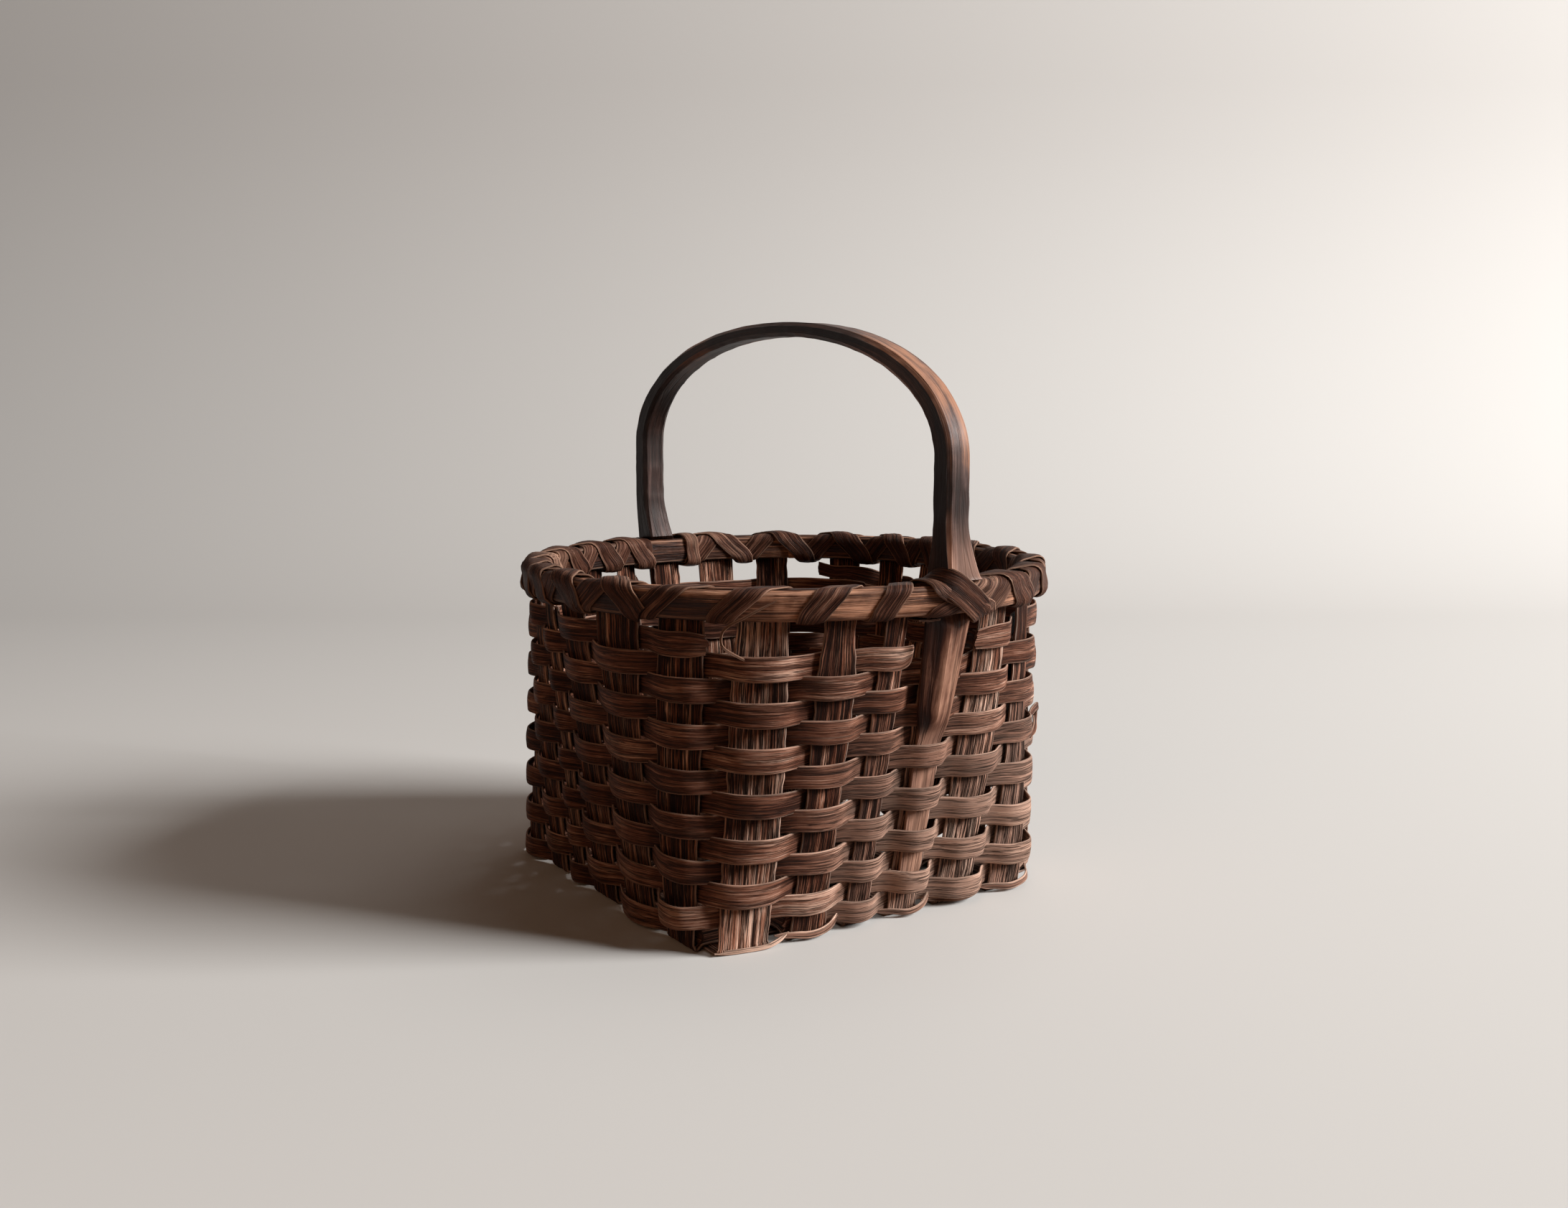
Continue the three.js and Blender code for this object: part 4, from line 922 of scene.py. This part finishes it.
def handle():
    rng = np.random.default_rng(900)
    rows = np.concatenate([handle_leg(0), handle_arch(), handle_leg(1)[::-1]])
    # Even spacing along the bow
    s = lengths(rows[:, :3])
    even = np.linspace(0, s[-1], 520)[:, None]
    x, y, z, width, thick, cut = (np.interp(even, s, column) for column in rows.T)
    blur([1, 2, 3, 2, 1], x, z)
    line = layers(x, y, z)
    u = middle_run(line)
    aside = np.array([0, 1, 0])
    outward = unit(np.cross(aside, unit(np.gradient(line, axis=0))))
    cut = np.minimum(cut, 0.375 * np.minimum(thick, width))
    # The section, as points aside and outward
    on_facet = [WIDE_FACET if k % 2 else CHAMFER_FACET for k in range(8)]
    facet = np.repeat(np.arange(8), [len(shares) for shares in on_facet])
    share = np.concatenate(on_facet)
    a, b, cut_a, cut_b = FACET_STARTS.T
    starts = layers(width / 2 * a + cut * cut_a, thick / 2 * b + cut * cut_b)
    ring = starts[:, facet] + (np.roll(starts, -1, 1) - starts)[:, facet] * share[:, None]
    m = len(share)
    # Knife cuts, each facet with its own
    depth = np.zeros((len(u), m))
    for k in range(8):
        cell, phase = rng.uniform(9, 19), rng.uniform(0, 30)
        cuts = np.abs((u + phase) / cell % 1 - 0.5) * 2
        depth[:, facet == k] = -0.22 * (1 - cuts ** 2) * (0.5 + 0.5 * noise1(rng, u + phase, cell))
    depth += 0.06 * noise2(rng, u, np.arange(m), 4, 2)
    ring += unit(ring) * (depth * np.clip((thick - 1.2) / 3, 0.1, 1))[..., None]
    # The free part of a tail has a ridge down its outer face
    near_side = x > LEAN_X
    ridge = np.where(near_side, *TAIL_RIDGES) * smooth((RIM_LOW - z) / 4) * smooth((z - TAIL_SEEN_FROM) / 8)
    over = np.where(facet == OUTER_FACET, share, 0)
    ring[..., 1] += ridge * np.interp(over, [0, 0.6, 1], [0, 1, 0])
    # The +X tail is broader, most on its -Y side, where it is pared to a slanting face
    broader = np.interp(z, [60, 70, RIM_LOW - 0.5, RIM_LOW + 2.5], [0, 2.2, 4.4, 0]) * near_side
    ring[..., 0] *= 1 + np.where(ring[..., 0] < 0, 1, 0.4) * broader * 2 / width
    rings = line + aside * ring[..., :1] + outward * ring[..., 1:]
    # Edges are worn pale in stretches, most along the -Y edge of the outer face
    x -= LEAN_X
    rubbed = np.clip(0.85 + 0.6 * noise1(rng, u, 13), 0, 1) * (0.35 + 0.65 * bell(np.abs(x), 84, 12))
    rubbed = rubbed * np.where(facet == WORN_FACET, 1, 0.55)
    edge = np.select([share == 0, np.minimum(share, 1 - share) < 0.13], [1, 0.55], 0)
    edge = np.where(facet % 2 == 0, np.maximum(edge, 0.95), edge) * rubbed * smooth((z - RIM_LOW + 6) / 6)
    # Lighter where it is worn or was covered: the tail and the foot. The +X shoulder is lighter partly from
    # wear and partly as a painted highlight, where the light falls on it
    tail = smooth((RIM_TOP - z) / 12) * 0.06
    shoulder = bell(x, 66, 24) * bell(z, 168, 20) * 0.22
    foot = bell(z, RIM_TOP + 6, 8) * np.where(x > 0, 1, 0.3)
    # Painted shade: the -X leg, away from the light, is darker
    tone = 0.47 + tail + shoulder + 0.12 * foot - 0.15 * smooth((-x - 60) / 20) + 0.08 * noise1(rng, u, 30)
    tone = tone + 0.05 * noise2(rng, u, np.arange(m), 25, 5)
    # Painted shade: the -Y side, which faces away from the light, is made nearly black, and so is the
    # slanting half of the tail, which is turned away from the light
    below = smooth((RIM_LOW + 2 - z) / 3)
    slant = below * smooth((z - 60) / 6)
    tone = tone - np.where(facet == SHADE_PAINTED_FACET, 0.3, 0) * (1 - below) + 0.16 * below
    tone -= np.where((facet >= WORN_FACET) | (over > 0.7), 0.42, 0) * slant
    pale = 0.45 * foot * np.isin(facet, (4, OUTER_FACET, WORN_FACET)) + 0.3 * (below - slant)
    return [tube(rings, layers(u, np.linspace(0, 28, m)), layers(edge, tone, pale))]


def place_piece(node, slot, parts, crease=50, name="_splint", low_material=None):
    piece = new_mesh(node + name, parts, WOODS[slot], crease, low_material)
    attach(piece, "root")
    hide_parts(node)


for number in range(6):
    for way, is_long in (("long", True), ("cross", False)):
        place_piece(f"upright_{way}_{number + 1}", "upright_splint", upright(number, is_long))
for row in range(1, ROWS + 1):
    place_piece(f"weaver_row_{row:02d}", "weaver_splint", weaver(row))
place_piece(f"weaver_row_{TORN_ROW}_loose", "weaver_splint", loose_weaver())
place_piece("rim_inner", "rim_wood", hoop(False, INNER_SCARF_EDGE, 501), 40)
place_piece("rim_outer", "rim_wood", hoop(True, OUTER_SCARF_EDGE, 502), 40)
place_piece("lashing_first", "lashing_splint", [lashing(7, N_UP, 1, False, 601)])
second = lashing(HANDLE_STRIP - 1 + SECOND_PASS_LOOPS, SECOND_PASS_LOOPS, -1, True, 602)
place_piece("lashing_second", "lashing_splint", [second, leg_strap(), loose_fibre()])
place_piece("handle", "handle_wood", handle(), 22, "_bow", TAIL_WOOD)

# Stage, light and camera in metres and degrees, the camera's place in mm
CAMERA_PLACE, CAMERA_TURN, CAMERA_TILT = (412.25, -272.39, 163), 56.07, 8.07
SENSOR_WIDTH, FOCAL_PIXELS, PHOTO_PIXELS = 36, 1993.4, 2184
FLOOR_NEAR, FLOOR_FAR, FLOOR_SIDE, BEND_RADIUS, BACKDROP_TOP = 2.4, 0.6, 3, 0.5, 2.2
FLOOR_GLOW, FLOOR_SEEN = (0.13, 0.08, 0.055, 1), (0.58, 0.585, 0.575, 1)
SKY_GLOW, SKY_SEEN = (1, 0.6, 0.4, 1), (0.5, 0.503, 0.495, 1)
SKY_GLOW_STRENGTH = 0.016

view = math.radians(CAMERA_TURN)
forward = np.array([-math.sin(view), math.cos(view), 0])
aside = np.array([math.cos(view), math.sin(view), 0])


def seen_directly(tree):
    """1 on the rays that show a surface, straight, mirrored or through glass, else 0."""
    rays = tree.nodes.new("ShaderNodeLightPath").outputs
    seen = maths(tree, "MAXIMUM", rays["Is Camera Ray"], rays["Is Glossy Ray"])
    return maths(tree, "MAXIMUM", seen, rays["Is Transmission Ray"])


def stage_point(right, away, up):
    """Metres to the camera's right, further away and up, from the basket's middle."""
    return Vector(aside * right + forward * away + np.array([0, 0, up]))


def lamp(name, where, aim, size, watts, colour):
    data = bpy.data.lights.new(name, "AREA")
    data.shape = "SQUARE"
    data.size = size
    data.energy = watts
    data.color = colour
    obj = add_object(name, data)
    obj.location = where
    obj.rotation_euler = (Vector((0, 0, aim)) - where).to_track_quat("-Z", "Y").to_euler()


# The floor throws less light back on the basket than it shows
paper = bpy.data.materials.new("floor_paper")
paper.use_nodes = True
tree = paper.node_tree
colour = mix(tree, seen_directly(tree), FLOOR_GLOW, FLOOR_SEEN)
shader = tree.nodes["Principled BSDF"]
fill(tree, shader, {"Base Color": colour, "Roughness": 0.85, "Specular IOR Level": 0.2})
bend = [(FLOOR_FAR + BEND_RADIUS * math.sin(a), BEND_RADIUS * (1 - math.cos(a)))
        for a in np.linspace(0.1, math.pi / 2, 12)]
profile = [(-FLOOR_NEAR, 0), (FLOOR_FAR, 0), *bend, (FLOOR_FAR + BEND_RADIUS, BACKDROP_TOP)]
verts = [stage_point(side, away, up) for away, up in profile for side in (-FLOOR_SIDE, FLOOR_SIDE)]
faces = [(2 * i, 2 * i + 1, 2 * i + 3, 2 * i + 2) for i in range(len(profile) - 1)]
floor_mesh = bpy.data.meshes.new("floor")
floor_mesh.from_pydata(verts, [], faces, shade_flat=False)
floor_mesh.materials.append(paper)
floor = add_object("floor", floor_mesh)

world = bpy.data.worlds.new("studio")
bpy.context.scene.world = world
world.use_nodes = True
tree = world.node_tree
glow = fill(tree, tree.nodes["Background"], {"Color": SKY_GLOW, "Strength": SKY_GLOW_STRENGTH})
seen = new_node(tree, "Background", {"Color": SKY_SEEN, "Strength": 1})
sky = new_node(tree, "MixShader", {0: seen_directly(tree), 1: glow.outputs[0], 2: seen.outputs[0]})
fill(tree, tree.nodes["World Output"], {"Surface": sky.outputs[0]})

lamp("key", stage_point(2.7, -0.45, 1.5), 0.08, 1.2, 190, (1, 0.965, 0.94))
lamp("fill", stage_point(-0.5, -1.1, 0.7), 0.08, 0.9, 2, (1, 0.53, 0.28))
lamp("top", stage_point(0.3, 0.3, 1.3), 0.1, 0.7, 2.2, (1, 0.95, 0.9))

camera_data = bpy.data.cameras.new("photo_view")
camera_data.sensor_width = SENSOR_WIDTH
camera_data.sensor_fit = "HORIZONTAL"
camera_data.lens = FOCAL_PIXELS / PHOTO_PIXELS * SENSOR_WIDTH
camera_data.clip_start = 0.01
camera = add_object("photo_view", camera_data)
camera.location = Vector((CAMERA_PLACE + SHIFT) * MM)
camera.rotation_euler = (math.radians(90 - CAMERA_TILT), 0, view)
bpy.context.scene.camera = camera
bpy.context.scene.view_settings.view_transform = "Standard"

bpy.context.view_layer.update()
